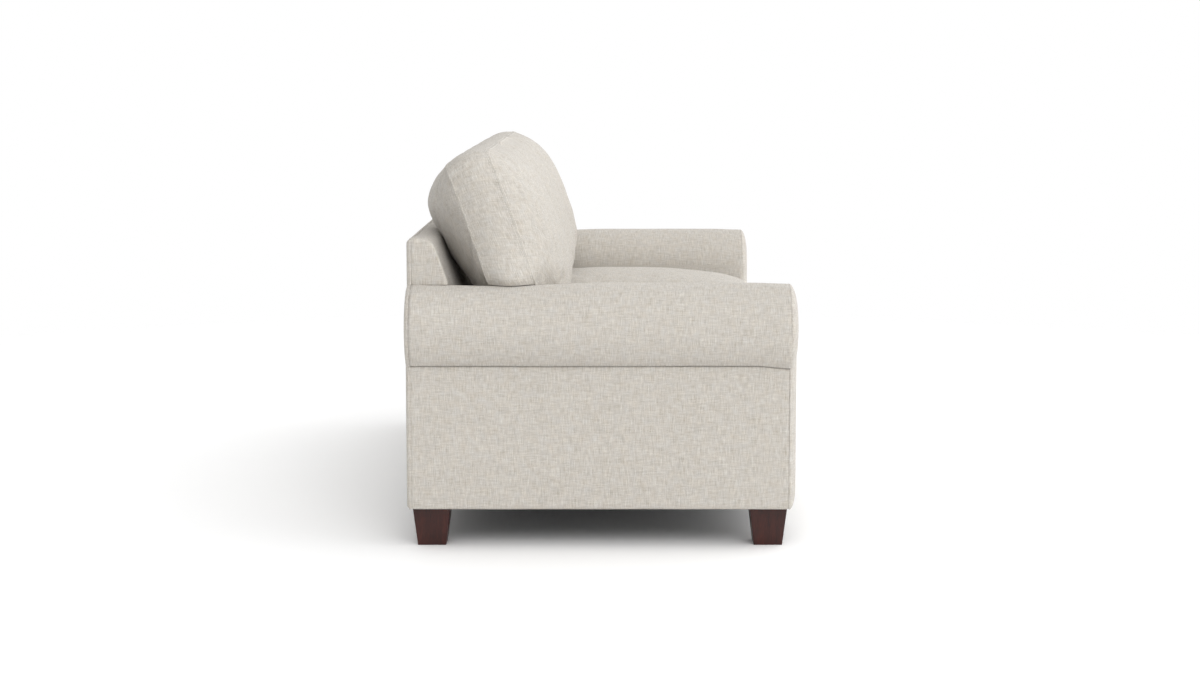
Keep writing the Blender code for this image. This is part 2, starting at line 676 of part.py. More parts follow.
def legs(walnut, support):
    """Four tapered legs at the corners and a plain foot under the middle of the seat."""
    half = LEG_TOP / 2
    for label, side in SIDES:
        x = side * (PANEL_X - LEG_INSET_SIDE - half)
        leg(label + "_front_leg", (x, FRONT_Y + LEG_INSET_FRONT + half), walnut)
        leg(label + "_rear_leg", (x, REAR_Y - LEG_INSET_REAR - half), walnut)
    rings = []
    for width, height in ((CENTRE_FOOT_SOLE, 0), (CENTRE_FOOT_TOP, LEG_HEIGHT)):
        reach = width / 2
        rings.append([Vector((x, y, height)) for x, y in
                      ((-reach, -reach), (reach, -reach), (reach, reach), (-reach, reach))])
    loft("centre_foot", rings, support)


def cushions(fabric):
    """Three seat cushions side by side, and three back cushions that lean over the arms and the back."""
    pitch = seat_cushion_size() + CUSHION_GAP
    behind = back_space("back_space")
    beside = {label: arm_space(label + "_cushion_space", side, CUSHION_CLEARANCE) for label, side in SIDES}
    for label, place in PLACES:
        seat_cushion(label + "_seat_cushion", place * pitch, fabric)
        cushion = back_cushion(label + "_back_cushion", place, fabric)
        cut(cushion, behind)
        if label in beside:
            cut(cushion, beside[label])


def build_sofa():
    clear_scene()
    fabric = finish("oatmeal upholstery", (0.62, 0.58, 0.52), 0.9)
    deck_cloth = finish("deck cloth", (0.55, 0.51, 0.45), 0.9)
    dust_cloth = finish("black dust cloth", (0.02, 0.02, 0.02), 0.95)
    walnut = finish("dark stained wood", (0.065, 0.028, 0.022), 0.45)
    support = finish("black foot", (0.03, 0.03, 0.03), 0.6)
    wood = finish("frame wood", (0.62, 0.44, 0.26), 0.7)
    steel = finish("spring steel", (0.35, 0.35, 0.36), 0.4, 1.0)
    webbing = finish("woven webbing", (0.25, 0.20, 0.15), 0.85)
    cutters = {label: arm_space(label + "_arm_space", side, TOUCH) for label, side in SIDES}
    seat_frame(wood)
    arms(fabric, wood)
    back_frame(wood, cutters)
    suspension(steel, webbing)
    seat_upholstery(fabric, deck_cloth, dust_cloth)
    back_upholstery(fabric, cutters)
    legs(walnut, support)
    cushions(fabric)


build_sofa()
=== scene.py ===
# %% [markdown]
# # A rolled arm sofa, dressed
# The frame of this sofa was modelled first, as solids. This lesson dresses it: covers, stuffed arms,
# cushions, seams and stitching, stained legs and bare frame wood.
# Every number is in metres, unless its name says MM. The front faces -Y, and +X is to the right as
# seen from the front.

import json
from math import acos, atan2, cos, exp, pi, radians, sin, sqrt, tan

import bmesh
import bpy
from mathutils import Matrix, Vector, noise
from mathutils.bvhtree import BVHTree
from mathutils.kdtree import KDTree


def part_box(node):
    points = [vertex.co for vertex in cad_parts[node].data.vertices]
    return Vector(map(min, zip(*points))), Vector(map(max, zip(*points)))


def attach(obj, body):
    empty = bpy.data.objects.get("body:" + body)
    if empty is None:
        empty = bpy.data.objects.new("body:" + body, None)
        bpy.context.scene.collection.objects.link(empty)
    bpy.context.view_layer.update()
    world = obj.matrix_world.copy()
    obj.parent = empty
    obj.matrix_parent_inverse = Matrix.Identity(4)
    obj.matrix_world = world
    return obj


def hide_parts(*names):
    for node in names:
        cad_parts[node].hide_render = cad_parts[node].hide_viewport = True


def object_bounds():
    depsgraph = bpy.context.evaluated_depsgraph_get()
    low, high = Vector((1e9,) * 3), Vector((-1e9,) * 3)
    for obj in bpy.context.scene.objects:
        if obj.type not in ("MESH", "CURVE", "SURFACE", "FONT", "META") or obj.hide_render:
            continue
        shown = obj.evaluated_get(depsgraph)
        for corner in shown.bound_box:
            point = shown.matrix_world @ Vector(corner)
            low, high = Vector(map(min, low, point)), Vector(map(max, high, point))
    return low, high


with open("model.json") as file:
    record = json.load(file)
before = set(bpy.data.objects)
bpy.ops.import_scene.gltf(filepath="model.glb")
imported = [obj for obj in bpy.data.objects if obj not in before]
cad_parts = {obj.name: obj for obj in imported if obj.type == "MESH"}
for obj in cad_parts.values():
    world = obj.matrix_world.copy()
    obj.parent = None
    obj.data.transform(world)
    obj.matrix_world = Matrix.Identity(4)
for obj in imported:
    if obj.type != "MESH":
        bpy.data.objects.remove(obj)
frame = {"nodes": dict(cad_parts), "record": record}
cad_low, cad_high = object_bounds()
print("CAD box", [round(v, 4) for v in (*cad_low, *cad_high)])

# %% [markdown]
# ## Camera
# The photograph looks at the left end of the sofa, a little from above the arms. How much smaller the
# far arm looks than the near one gives the distance, and the leg tops and arm edges give the rest.

# %% Camera
LENS_MM, SENSOR_MM = 66.84, 36.0
CAMERA_PLACE = (-6.48, 0.005, 1.173)
CAMERA_DOWN = 6.75           # degrees below level
CAMERA_REACH = 60.0

camera = bpy.data.objects.new("camera", bpy.data.cameras.new("camera"))
camera.data.lens = LENS_MM
camera.data.sensor_width = SENSOR_MM
camera.data.clip_end = CAMERA_REACH
camera.location = CAMERA_PLACE
camera.rotation_euler = (radians(90 - CAMERA_DOWN), 0, radians(-90))
bpy.context.scene.collection.objects.link(camera)
bpy.context.scene.camera = camera
bpy.context.scene.view_settings.view_transform = "Standard"
print("camera at", tuple(round(v, 3) for v in camera.location))

# %% [markdown]
# ## Materials are made of nodes
# A material is a small net of nodes that ends in a shader. One function adds any node with its
# settings and links, one turns a hex colour into the linear numbers that shaders use, and one starts
# a material from its shader. A Mix node has sockets of several kinds under one name, so its sockets
# go by number: 0 takes the share, 2 and 3 take numbers, 6 and 7 take colours, which leave by socket 2.


# %% Three helpers for materials
def srgb(code):
    """A hex colour as the linear numbers that shaders use."""
    parts = [int(code[i:i + 2], 16) / 255 for i in (0, 2, 4)]
    return (*[p / 12.92 if p <= 0.04045 else ((p + 0.055) / 1.055) ** 2.4 for p in parts], 1.0)


def add(tree, kind, inputs=None, stops=(), **settings):
    """A node with its settings, and with a value or a link for each input.

    An input that is given a whole node is linked to that node's first output. The stops are the
    places and colours of a colour ramp: its two ends, and then any between them.
    """
    node = tree.nodes.new(kind)
    for name, value in settings.items():
        setattr(node, name, value)
    for number, (place, code) in enumerate(stops):
        elements = node.color_ramp.elements
        stop = elements[number] if number < 2 else elements.new(place)
        stop.position = place
        stop.color = srgb(code)
    for name, value in (inputs or {}).items():
        if isinstance(value, bpy.types.Node):
            value = value.outputs[0]
        if isinstance(value, bpy.types.NodeSocket):
            tree.links.new(value, node.inputs[name])
        else:
            node.inputs[name].default_value = value
    return node


def new_material(name, roughness, **settings):
    """A material with one Principled shader; settings are plain values on the shader's own sockets."""
    material = bpy.data.materials.new(name)
    material.use_nodes = True
    tree = material.node_tree
    shader = tree.nodes["Principled BSDF"]
    shader.inputs["Roughness"].default_value = roughness
    for socket, value in settings.items():
        shader.inputs[socket.replace("_", " ")].default_value = value
    return material, tree, shader


print("white is", srgb("FFFFFF"))

# %% [markdown]
# ## Floor
# A seamless studio sweep is painted paper: matt, almost white, with a faint mottle, so that it isn't a
# dead flat colour. Far from the sofa it fades into the white backdrop, as a real sweep does where it
# curves up, so no horizon shows.

# %% Floor
FLOOR_SIZE = 12.0
FADE_START = 2.2
FADE_END = 4.6
MOTTLE_MM = 333.33

paper, tree, shader = new_material("matt studio paper", 0.9, Specular_IOR_Level=0.1)
place = add(tree, "ShaderNodeTexCoord").outputs["Object"]
mottle = add(tree, "ShaderNodeTexNoise", {"Vector": place, "Scale": 1000 / MOTTLE_MM, "Detail": 3.0})
shade = add(tree, "ShaderNodeMix", {0: mottle, 6: srgb("F9F9F9"), 7: srgb("FBFBFB")}, data_type="RGBA")
tree.links.new(shade.outputs[2], shader.inputs["Base Color"])
away = add(tree, "ShaderNodeVectorMath", {0: place}, operation="LENGTH").outputs["Value"]
fade = add(tree, "ShaderNodeMapRange", {"Value": away, "From Min": FADE_START, "From Max": FADE_END},
           interpolation_type="SMOOTHSTEP")
clear = add(tree, "ShaderNodeBsdfTransparent")
blend = add(tree, "ShaderNodeMixShader", {0: fade, 1: shader, 2: clear})
tree.links.new(blend.outputs[0], tree.nodes["Material Output"].inputs["Surface"])

bm = bmesh.new()
bmesh.ops.create_grid(bm, x_segments=2, y_segments=2, size=FLOOR_SIZE / 2)
floor_mesh = bpy.data.meshes.new("floor")
bm.to_mesh(floor_mesh)
bm.free()
floor_mesh.materials.append(paper)
floor = bpy.data.objects.new("floor", floor_mesh)
bpy.context.scene.collection.objects.link(floor)
print("floor", FLOOR_SIZE, "m wide")

# %% [markdown]
# ## Light
# The light is large and soft. The room is bright in front of the sofa and dim behind it, and one
# softbox stands high on the camera's side, so the sofa's short shadow falls behind it and the rear of
# the cushions is in shade. The backdrop that the camera sees is plain white, and the room that lights
# the sofa is dimmer: a light path node keeps the two apart.

# %% Light
ROOM_ALL = 0.39       # what the room gives from all sides
ROOM_FRONT = 1.42     # and how much more it gives from straight in front

world = bpy.data.worlds.new("studio")
world.use_nodes = True
bpy.context.scene.world = world
tree = world.node_tree
backdrop = tree.nodes["Background"]
backdrop.inputs["Color"].default_value = srgb("FFFFFF")
look = add(tree, "ShaderNodeSeparateXYZ", {0: add(tree, "ShaderNodeTexCoord").outputs["Generated"]})
ahead = add(tree, "ShaderNodeMath", {0: 1.0, 1: look.outputs["Y"]}, operation="SUBTRACT")
strength = add(tree, "ShaderNodeMath", {0: ahead, 1: ROOM_FRONT / 2, 2: ROOM_ALL}, operation="MULTIPLY_ADD")
room = add(tree, "ShaderNodeBackground", {"Color": srgb("FFFFFF"), "Strength": strength})
seen = add(tree, "ShaderNodeLightPath").outputs["Is Camera Ray"]
choice = add(tree, "ShaderNodeMixShader", {0: seen, 1: room, 2: backdrop})
tree.links.new(choice.outputs[0], tree.nodes["World Output"].inputs["Surface"])


def softbox(name, place, aim, width, height, power):
    """A rectangular studio light that points at a place."""
    lamp = bpy.data.lights.new(name, "AREA")
    lamp.shape = "RECTANGLE"
    lamp.size = width
    lamp.size_y = height
    lamp.energy = power
    box = bpy.data.objects.new(name, lamp)
    box.location = place
    box.rotation_euler = (Vector(aim) - Vector(place)).to_track_quat("-Z", "Y").to_euler()
    bpy.context.scene.collection.objects.link(box)
    return box


softbox("camera side", (-14.28, -1.44, 9.76), (-0.6, 0.0, 0.4), width=10.8, height=7.2, power=735.0)

# %% [markdown]
# ## Upholstery cloth
# The cover is a polyester cloth woven to look like linen: a plain weave of thick and thin yarns in
# light oatmeal shades. Thick places in the warp yarns, called slubs, give it short upright streaks,
# and the yarns are dyed in slightly different tones, which gives it a heathered look. Cloth like this
# could be a picture of a weave. Here it is worked out yarn by yarn, so it stays sharp at any size.
# The pattern reads the piece's own UV map, named cloth, whose unit is one metre along the cloth,
# so the warp runs up every panel as the cutter lays it.

# %% Woven cloth material
WARP_MM = 1.7          # real yarns lie about 1.1 mm apart; drawn wider, because finer ones don't show
WEFT_MM = 1.9
YARN_STEP = 3.71       # neighbouring yarns read the noise this far apart, so their tones differ
DRIFT_MM = 11.111      # over this length a yarn wanders by about half its width
SLUB_WIDTH_MM = 1.8
SLUB_LENGTH_MM = 26.0
CROSS_SHARE = 0.26     # how much of the streaks run across
YARN_SHARE = 0.45      # how much of the fleck comes from single yarns
PATCH_MM = 22.222      # size of the heathered patches
VALLEY_SHADE = 0.80    # how dark the painted shade is between two yarns
RIDGE_HIGHLIGHT = 0.30     # how much lighter a highlight is painted on the cloth over the turned edges at a seam
GROOVE_SHADE = 0.12   # and how much darker the painted shade is in the join between them
SLUB_HEIGHT = 1.2      # height of a slub, where a yarn's is 1
WEAVE_RELIEF = 0.0006


def woven(name, dark, plain, light, seed):
    """A slubby plain weave: over and under yarns, each with its own tone, and streaks along the warp."""
    material, tree, shader = new_material(name, 0.88, Sheen_Weight=0.25, Sheen_Roughness=0.5,
                                          Specular_IOR_Level=0.25)
    shader.inputs["Sheen Tint"].default_value = srgb("FFFDFA")
    uv = add(tree, "ShaderNodeUVMap", uv_map="cloth")
    uv = add(tree, "ShaderNodeVectorMath", {0: uv, 1: (seed * 1.37, seed * 2.11, 0.0)})
    flat = add(tree, "ShaderNodeSeparateXYZ", {0: uv})
    u, v = flat.outputs["X"], flat.outputs["Y"]

    # yarns are never quite straight, and each has a tone of its own that changes slowly along it
    drift = add(tree, "ShaderNodeTexNoise", {"Vector": uv, "Scale": 1000 / DRIFT_MM, "Detail": 2.0},
                noise_dimensions="2D")
    drift = add(tree, "ShaderNodeSeparateXYZ", {0: drift.outputs["Color"]})
    rows, crowns, tones = [], [], []
    for across, along, pitch, axis in ((u, v, WARP_MM, "X"), (v, u, WEFT_MM, "Y")):
        count = add(tree, "ShaderNodeMath", {0: across, 1: 1000 / pitch, 2: drift.outputs[axis]},
                    operation="MULTIPLY_ADD")
        turn = add(tree, "ShaderNodeMath", {0: count, 1: pi}, operation="MULTIPLY")
        wave = add(tree, "ShaderNodeMath", {0: turn}, operation="SINE")
        crowns.append(add(tree, "ShaderNodeMath", {0: wave}, operation="ABSOLUTE"))
        row = add(tree, "ShaderNodeMath", {0: count}, operation="FLOOR")
        rows.append(row)
        apart = add(tree, "ShaderNodeMath", {0: row, 1: YARN_STEP}, operation="MULTIPLY")
        run = add(tree, "ShaderNodeMath", {0: along, 1: 1000 / SLUB_LENGTH_MM}, operation="MULTIPLY")
        spot = add(tree, "ShaderNodeCombineXYZ", {0: apart, 1: run})
        tones.append(add(tree, "ShaderNodeTexNoise", {"Vector": spot, "Scale": 1.0, "Detail": 1.0},
                         noise_dimensions="2D"))

    # in a plain weave the warp lies on top in every second crossing
    crossing = add(tree, "ShaderNodeMath", {0: rows[0], 1: rows[1]}, operation="ADD")
    pairs = add(tree, "ShaderNodeMath", {0: crossing, 1: 0.5}, operation="MULTIPLY")
    parity = add(tree, "ShaderNodeMath", {0: pairs}, operation="FRACT")
    over = add(tree, "ShaderNodeMath", {0: parity, 1: 0.25}, operation="GREATER_THAN")
    tone = add(tree, "ShaderNodeMix", {0: over, 2: tones[1], 3: tones[0]})
    height = add(tree, "ShaderNodeMix", {0: over, 2: crowns[1], 3: crowns[0]})

    # slubs: upright streaks, with fainter ones across
    streaks = []
    for wide, high, detail in ((SLUB_WIDTH_MM, SLUB_LENGTH_MM, 3.0), (SLUB_LENGTH_MM, SLUB_WIDTH_MM, 2.0)):
        stretched = add(tree, "ShaderNodeVectorMath", {0: uv, 1: (1000 / wide, 1000 / high, 0.0)},
                        operation="MULTIPLY")
        streaks.append(add(tree, "ShaderNodeTexNoise", {"Vector": stretched, "Scale": 1.0, "Detail": detail,
                                                        "Roughness": 0.6}, noise_dimensions="2D"))
    slub = add(tree, "ShaderNodeMix", {0: CROSS_SHARE, 2: streaks[0], 3: streaks[1]})
    fleck = add(tree, "ShaderNodeMix", {0: YARN_SHARE, 2: slub, 3: tone})
    ramp = add(tree, "ShaderNodeValToRGB", {"Fac": fleck}, stops=((0.32, dark), (0.68, light), (0.50, plain)))

    # heather: soft patches, a little warmer or greyer
    patch = add(tree, "ShaderNodeTexNoise", {"Vector": uv, "Scale": 1000 / PATCH_MM, "Detail": 4.0,
                                             "Roughness": 0.65}, noise_dimensions="2D")
    warm = add(tree, "ShaderNodeMix", {0: patch, 6: srgb("F8FAFC"), 7: srgb("FFF9EF")}, data_type="RGBA")

    # the valleys between yarns are darker: painted shade
    valley = add(tree, "ShaderNodeMapRange", {"Value": height, "From Min": 0.0, "From Max": 0.6,
                                              "To Min": VALLEY_SHADE, "To Max": 1.0})

    # along a seam a highlight is painted on the turned edges, and shade is painted in the join between them
    sewn = add(tree, "ShaderNodeAttribute", attribute_name="sewn").outputs["Fac"]
    ridge = add(tree, "ShaderNodeMath", {0: sewn, 1: 0.0}, operation="MAXIMUM")
    groove = add(tree, "ShaderNodeMath", {0: sewn, 1: 0.0}, operation="MINIMUM")
    ridge_highlight = add(tree, "ShaderNodeMath", {0: ridge, 1: RIDGE_HIGHLIGHT, 2: 1.0}, operation="MULTIPLY_ADD")
    seam = add(tree, "ShaderNodeMath", {0: groove, 1: GROOVE_SHADE, 2: ridge_highlight}, operation="MULTIPLY_ADD")

    cloth = ramp.outputs["Color"]
    for tint in (warm.outputs[2], valley.outputs[0], seam.outputs[0]):
        cloth = add(tree, "ShaderNodeMix", {0: 1.0, 6: cloth, 7: tint}, data_type="RGBA",
                    blend_type="MULTIPLY").outputs[2]
    tree.links.new(cloth, shader.inputs["Base Color"])
    raised = add(tree, "ShaderNodeMath", {0: slub, 1: SLUB_HEIGHT, 2: height}, operation="MULTIPLY_ADD")
    bump = add(tree, "ShaderNodeBump", {"Height": raised, "Strength": 0.55, "Distance": WEAVE_RELIEF})
    tree.links.new(bump.outputs["Normal"], shader.inputs["Normal"])
    return material


OATMEAL = ("A9A399", "C1BDB8", "D4D2CD")
# the cushions are cut from the same cloth as the covers, from another stretch of the roll
cover_cloth = woven("oatmeal linen-look weave", *OATMEAL, 0)
cushion_cloth = woven("oatmeal linen-look weave, cushions", *OATMEAL, 7)
# the deck under the cushions is covered with a plainer and darker cloth, because it doesn't show
platform_cloth = woven("plain platform cloth", "77726A", "868179", "938E86", 3)
print("cloth materials", cover_cloth.name, "/", cushion_cloth.name, "/", platform_cloth.name)

# %% [markdown]
# ## Stained legs
# The legs are cut square and tapered from beech or rubberwood, and stained dark: the stain sinks
# deeper into the open pores, so the grain shows as fine dark upright lines under a satin lacquer. A
# noise that is stretched along the leg gives such lines, with broader bands under them.

# %% Stained leg wood
GRAIN_MM = 2.2         # real pore lines lie under 1 mm apart; drawn wider, because finer ones don't show
BAND_MM = 22.222       # width of the darker and lighter bands
GRAIN_STRETCH = 0.05   # the lines run up the leg
GRAIN_RELIEF = 0.0003

stained_beech, tree, shader = new_material("dark stained beech, satin lacquer", 0.42, Coat_Weight=0.12,
                                           Coat_Roughness=0.3, Specular_IOR_Level=0.35)
place = add(tree, "ShaderNodeTexCoord").outputs["Object"]
upright = add(tree, "ShaderNodeMapping", {"Vector": place, "Scale": (1.0, 1.0, GRAIN_STRETCH)})
grain = add(tree, "ShaderNodeTexNoise", {"Vector": upright, "Scale": 1000 / GRAIN_MM, "Detail": 5.0,
                                         "Roughness": 0.65, "Distortion": 0.4})
bands = add(tree, "ShaderNodeTexNoise", {"Vector": upright, "Scale": 1000 / BAND_MM, "Detail": 3.0})
blend = add(tree, "ShaderNodeMix", {0: 0.55, 2: bands, 3: grain})
ramp = add(tree, "ShaderNodeValToRGB", {"Fac": blend}, stops=((0.34, "1C0705"), (0.66, "43180F")))
tree.links.new(ramp.outputs["Color"], shader.inputs["Base Color"])
bump = add(tree, "ShaderNodeBump", {"Height": grain, "Strength": 0.25, "Distance": GRAIN_RELIEF})
tree.links.new(bump.outputs["Normal"], shader.inputs["Normal"])
print("leg wood", stained_beech.name)

# %% [markdown]
# ## Bare frame wood
# The frame inside is plywood and softwood, sawn and left raw. Growth rings run round the length of a
# board, and the saw leaves a fine fibrous nap, which is what the eye takes for rough wood.

# %% Bare frame wood
RING_MM = 45.455       # width of a pair of growth bands
NAP_MM = 2.381
NAP_STRETCH = 0.06     # fibres lie along the sofa's depth
NAP_RELIEF = 0.0006

frame_pine, tree, shader = new_material("raw sawn frame wood", 0.72)
place = add(tree, "ShaderNodeTexCoord").outputs["Object"]
rings = add(tree, "ShaderNodeTexWave", {"Vector": place, "Scale": 1000 / RING_MM, "Distortion": 6.0,
                                        "Detail": 3.0, "Detail Scale": 1.4},
            wave_type="RINGS", rings_direction="Y").outputs["Fac"]
sawn = add(tree, "ShaderNodeMapping", {"Vector": place, "Scale": (1.0, NAP_STRETCH, 1.0)})
nap = add(tree, "ShaderNodeTexNoise", {"Vector": sawn, "Scale": 1000 / NAP_MM, "Detail": 4.0})
blend = add(tree, "ShaderNodeMix", {0: 0.45, 2: rings, 3: nap})
ramp = add(tree, "ShaderNodeValToRGB", {"Fac": blend}, stops=((0.0, "B98F5E"), (1.0, "E2C497")))
tree.links.new(ramp.outputs["Color"], shader.inputs["Base Color"])
bump = add(tree, "ShaderNodeBump", {"Height": nap, "Strength": 0.4, "Distance": NAP_RELIEF})
tree.links.new(bump.outputs["Normal"], shader.inputs["Normal"])
print("frame wood", frame_pine.name)

# %% [markdown]
# ## Springs and webbing
# The sinuous springs are drawn wire, hardened and oil tempered, which leaves a grey scale in faint
# blotches on the metal. The back is hung with jute webbing, a coarse brown weave of hairy yarn whose
# ribs catch the light.

# %% Spring steel
SCALE_MM = 6.25        # size of the blotches

spring_steel, tree, shader = new_material("oil tempered spring steel", 0.34, Metallic=1.0)
place = add(tree, "ShaderNodeTexCoord").outputs["Object"]
blotches = add(tree, "ShaderNodeTexNoise", {"Vector": place, "Scale": 1000 / SCALE_MM, "Detail": 4.0})
ramp = add(tree, "ShaderNodeValToRGB", {"Fac": blotches}, stops=((0.35, "55524F"), (0.65, "8E8A85")))
tree.links.new(ramp.outputs["Color"], shader.inputs["Base Color"])
print("springs", spring_steel.name)

# %% Webbing
WEB_YARN_MM = 2.6
HAIR_MM = 3.333
WEB_RELIEF = 0.0008

jute, tree, shader = new_material("woven jute webbing", 0.9)
place = add(tree, "ShaderNodeTexCoord").outputs["Object"]
parts = add(tree, "ShaderNodeSeparateXYZ", {0: place})
ribs = []
for axis in ("Z", "X"):
    turn = add(tree, "ShaderNodeMath", {0: parts.outputs[axis], 1: pi * 1000 / WEB_YARN_MM},
               operation="MULTIPLY")
    wave = add(tree, "ShaderNodeMath", {0: turn}, operation="SINE")
    ribs.append(add(tree, "ShaderNodeMath", {0: wave}, operation="ABSOLUTE"))
weave = add(tree, "ShaderNodeMath", {0: ribs[0], 1: ribs[1]}, operation="MAXIMUM")
hair = add(tree, "ShaderNodeTexNoise", {"Vector": place, "Scale": 1000 / HAIR_MM, "Detail": 3.0})
blend = add(tree, "ShaderNodeMix", {0: 0.4, 2: weave, 3: hair})
ramp = add(tree, "ShaderNodeValToRGB", {"Fac": blend}, stops=((0.0, "6B5336"), (1.0, "C2A577")))
tree.links.new(ramp.outputs["Color"], shader.inputs["Base Color"])
bump = add(tree, "ShaderNodeBump", {"Height": weave, "Strength": 0.6, "Distance": WEB_RELIEF})
tree.links.new(bump.outputs["Normal"], shader.inputs["Normal"])
print("webbing", jute.name)

# %% [markdown]
# ## Dust cloth, foot and thread
# The cloth under the frame is spun-bonded: fibres are melted together at small cells, which gives the
# black sheet a faint net. The foot under the middle of the frame is moulded, with a fine pebbled skin.
# Sewing thread is twisted polyester, glossier than the cloth and a shade lighter.

# %% Dust cloth
CELL_MM = 1.4          # real cells are about 0.8 mm; drawn wider, because finer ones don't show
CELL_RELIEF = 0.0003

dust_cloth, tree, shader = new_material("spun-bonded dust cloth", 0.95)
place = add(tree, "ShaderNodeTexCoord").outputs["Object"]
cells = add(tree, "ShaderNodeTexVoronoi", {"Vector": place, "Scale": 1000 / CELL_MM},
            feature="DISTANCE_TO_EDGE").outputs["Distance"]
ramp = add(tree, "ShaderNodeValToRGB", {"Fac": cells}, stops=((0.0, "2C2C2D"), (0.4, "141415")))
tree.links.new(ramp.outputs["Color"], shader.inputs["Base Color"])
bump = add(tree, "ShaderNodeBump", {"Height": cells, "Strength": 0.3, "Distance": CELL_RELIEF})
tree.links.new(bump.outputs["Normal"], shader.inputs["Normal"])
print("dust cloth", dust_cloth.name)

# %% Moulded foot
PEBBLE_MM = 1.111
PEBBLE_RELIEF = 0.0002

foot_plastic, tree, shader = new_material("moulded black polypropylene", 0.55)
place = add(tree, "ShaderNodeTexCoord").outputs["Object"]
pebble = add(tree, "ShaderNodeTexNoise", {"Vector": place, "Scale": 1000 / PEBBLE_MM, "Detail": 2.0})
ramp = add(tree, "ShaderNodeValToRGB", {"Fac": pebble}, stops=((0.0, "1B1B1C"), (1.0, "2A2A2B")))
tree.links.new(ramp.outputs["Color"], shader.inputs["Base Color"])
bump = add(tree, "ShaderNodeBump", {"Height": pebble, "Strength": 0.15, "Distance": PEBBLE_RELIEF})
tree.links.new(bump.outputs["Normal"], shader.inputs["Normal"])
print("foot", foot_plastic.name)

# %% Sewing thread
TWIST_MM = 0.625

thread, tree, shader = new_material("spun polyester thread", 0.55, Sheen_Weight=0.2)
place = add(tree, "ShaderNodeTexCoord").outputs["Object"]
twist = add(tree, "ShaderNodeTexNoise", {"Vector": place, "Scale": 1000 / TWIST_MM, "Detail": 1.0})
ramp = add(tree, "ShaderNodeValToRGB", {"Fac": twist}, stops=((0.0, "C0BAB0"), (1.0, "D8D4CD")))
tree.links.new(ramp.outputs["Color"], shader.inputs["Base Color"])
print("thread", thread.name)

# %% [markdown]
# ## Solids that keep their shape
# Legs, rails, boards, springs, webs and the foot were modelled exactly, so they aren't made again:
# each gets the finish that its slot names.

# %% Give the carried-over solids their finish
FINISHES = {"leg_wood": stained_beech, "frame_wood": frame_pine, "spring_steel": spring_steel,
            "webbing": jute, "support_foot": foot_plastic, "dust_cloth": dust_cloth}
slots = {part["node"]: part["material_slot"] for part in frame["record"]["subparts"]}
for node, slot in slots.items():
    finish = FINISHES.get(slot)
    if finish:
        solid = frame["nodes"][node]
        solid.data.materials.clear()
        solid.data.materials.append(finish)
print(sum(slot in FINISHES for slot in slots.values()), "solids keep their shape and get a finish")

# %% [markdown]
# ## Measures of the sofa
# The dressed pieces take their places from the boxes of the solids, so that they fit without guessing.
# Two shapes need more than a box: the rake of the back and the roll of the arm.

# %% Measures
GAP = 0.0003                 # touching solids stand this far apart
RAKE = radians(20)
arm_low, arm_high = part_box("right_inside_arm")
side_low, side_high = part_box("right_outside_arm")
front_low, front_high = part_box("right_front_arm_panel")
back_low, back_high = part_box("inside_back")
end_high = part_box("right_back_end_panel")[1]
SEAT_X, END_X = arm_low.x, arm_high.x
ROLL_R = (END_X - SEAT_X) / 2
ROLL_X = SEAT_X + ROLL_R
ROLL_Z = arm_high.z - ROLL_R
PANEL_X, COVER_FOOT, UNDER_ROLL = side_high.x, side_low.z, side_high.z
SEAM_Y = front_high.y
COVER = side_high.x - side_low.x     # thickness of a side cover
PAD = 0.022                  # foam and cover round the frame of an arm


def back_face(height):
    """How far back the inside back is at a height."""
    return back_low.y + (height - back_low.z) * tan(RAKE)


print("roll radius", round(ROLL_R, 4), "at", round(ROLL_X, 4), round(ROLL_Z, 4))

# %% [markdown]
# ## From a mesh to a piece
# Every new piece ends in the same way: its faces are turned out, its cloth gets a UV map that is laid
# as a cutter would lay it, it is told which body it rides on, and the solid it stands for is hidden.


# %% Helpers that finish a piece
def smoothstep(value):
    """0 below 0, 1 above 1 and a soft change between."""
    value = min(max(value, 0.0), 1.0)
    return value * value * (3 - 2 * value)


def close_piece(name, bm, material, body="root", replaces=(), laid=None):
    """Turn a bmesh into a piece: normals out, cloth UVs, material, the body it rides on."""
    bmesh.ops.recalc_face_normals(bm, faces=bm.faces)
    if laid:
        layer = bm.loops.layers.uv.get("cloth") or bm.loops.layers.uv.new("cloth")
        for face in bm.faces:
            for loop in face.loops:
                loop[layer].uv = laid(loop.vert.co, face.normal)
    mesh = bpy.data.meshes.new(name)
    bm.to_mesh(mesh)
    bm.free()
    mesh.shade_smooth()
    mesh.materials.append(material)
    piece = bpy.data.objects.new(name, mesh)
    bpy.context.scene.collection.objects.link(piece)
    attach(piece, body)
    if replaces:
        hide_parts(*replaces)
    print(name, len(mesh.polygons), "faces")
    return piece


LEVEL = 0.7                  # a face is level if its normal's z is past this


def flat_lay(co, normal):
    """Cloth laid flat on the side that a face looks to: the warp runs up, or back on level faces."""
    if abs(normal.z) > LEVEL:
        return co.x, co.y
    if abs(normal.x) > abs(normal.y):
        return co.y, co.z
    return co.x, co.z


print("cloth is laid with the warp running up")

# %% [markdown]
# ## Covers cut flat
# The back, the end panels, the outside covers, the border and the deck are cloth pulled over thin
# padding and stapled. Their solids already have the right outline, but hard edges. Each cover is a
# copy of its solid that is rebuilt from small even cells (a voxel remesh), then relaxed, which rounds
# the edges as cloth over wadding does, and pushed out a little, more in some places than in others.
# Covers that are sewn to each other reach a few millimetres into their seam, so that no gap shows.

# %% Covers from the solids
PUFF_EVEN = 0.6              # the share of the swelling that is the same everywhere
PUFF_LUMPS = ((5.0, 0.5), (13.0, 0.2))     # lumps of the wadding: how many to a metre, and their share


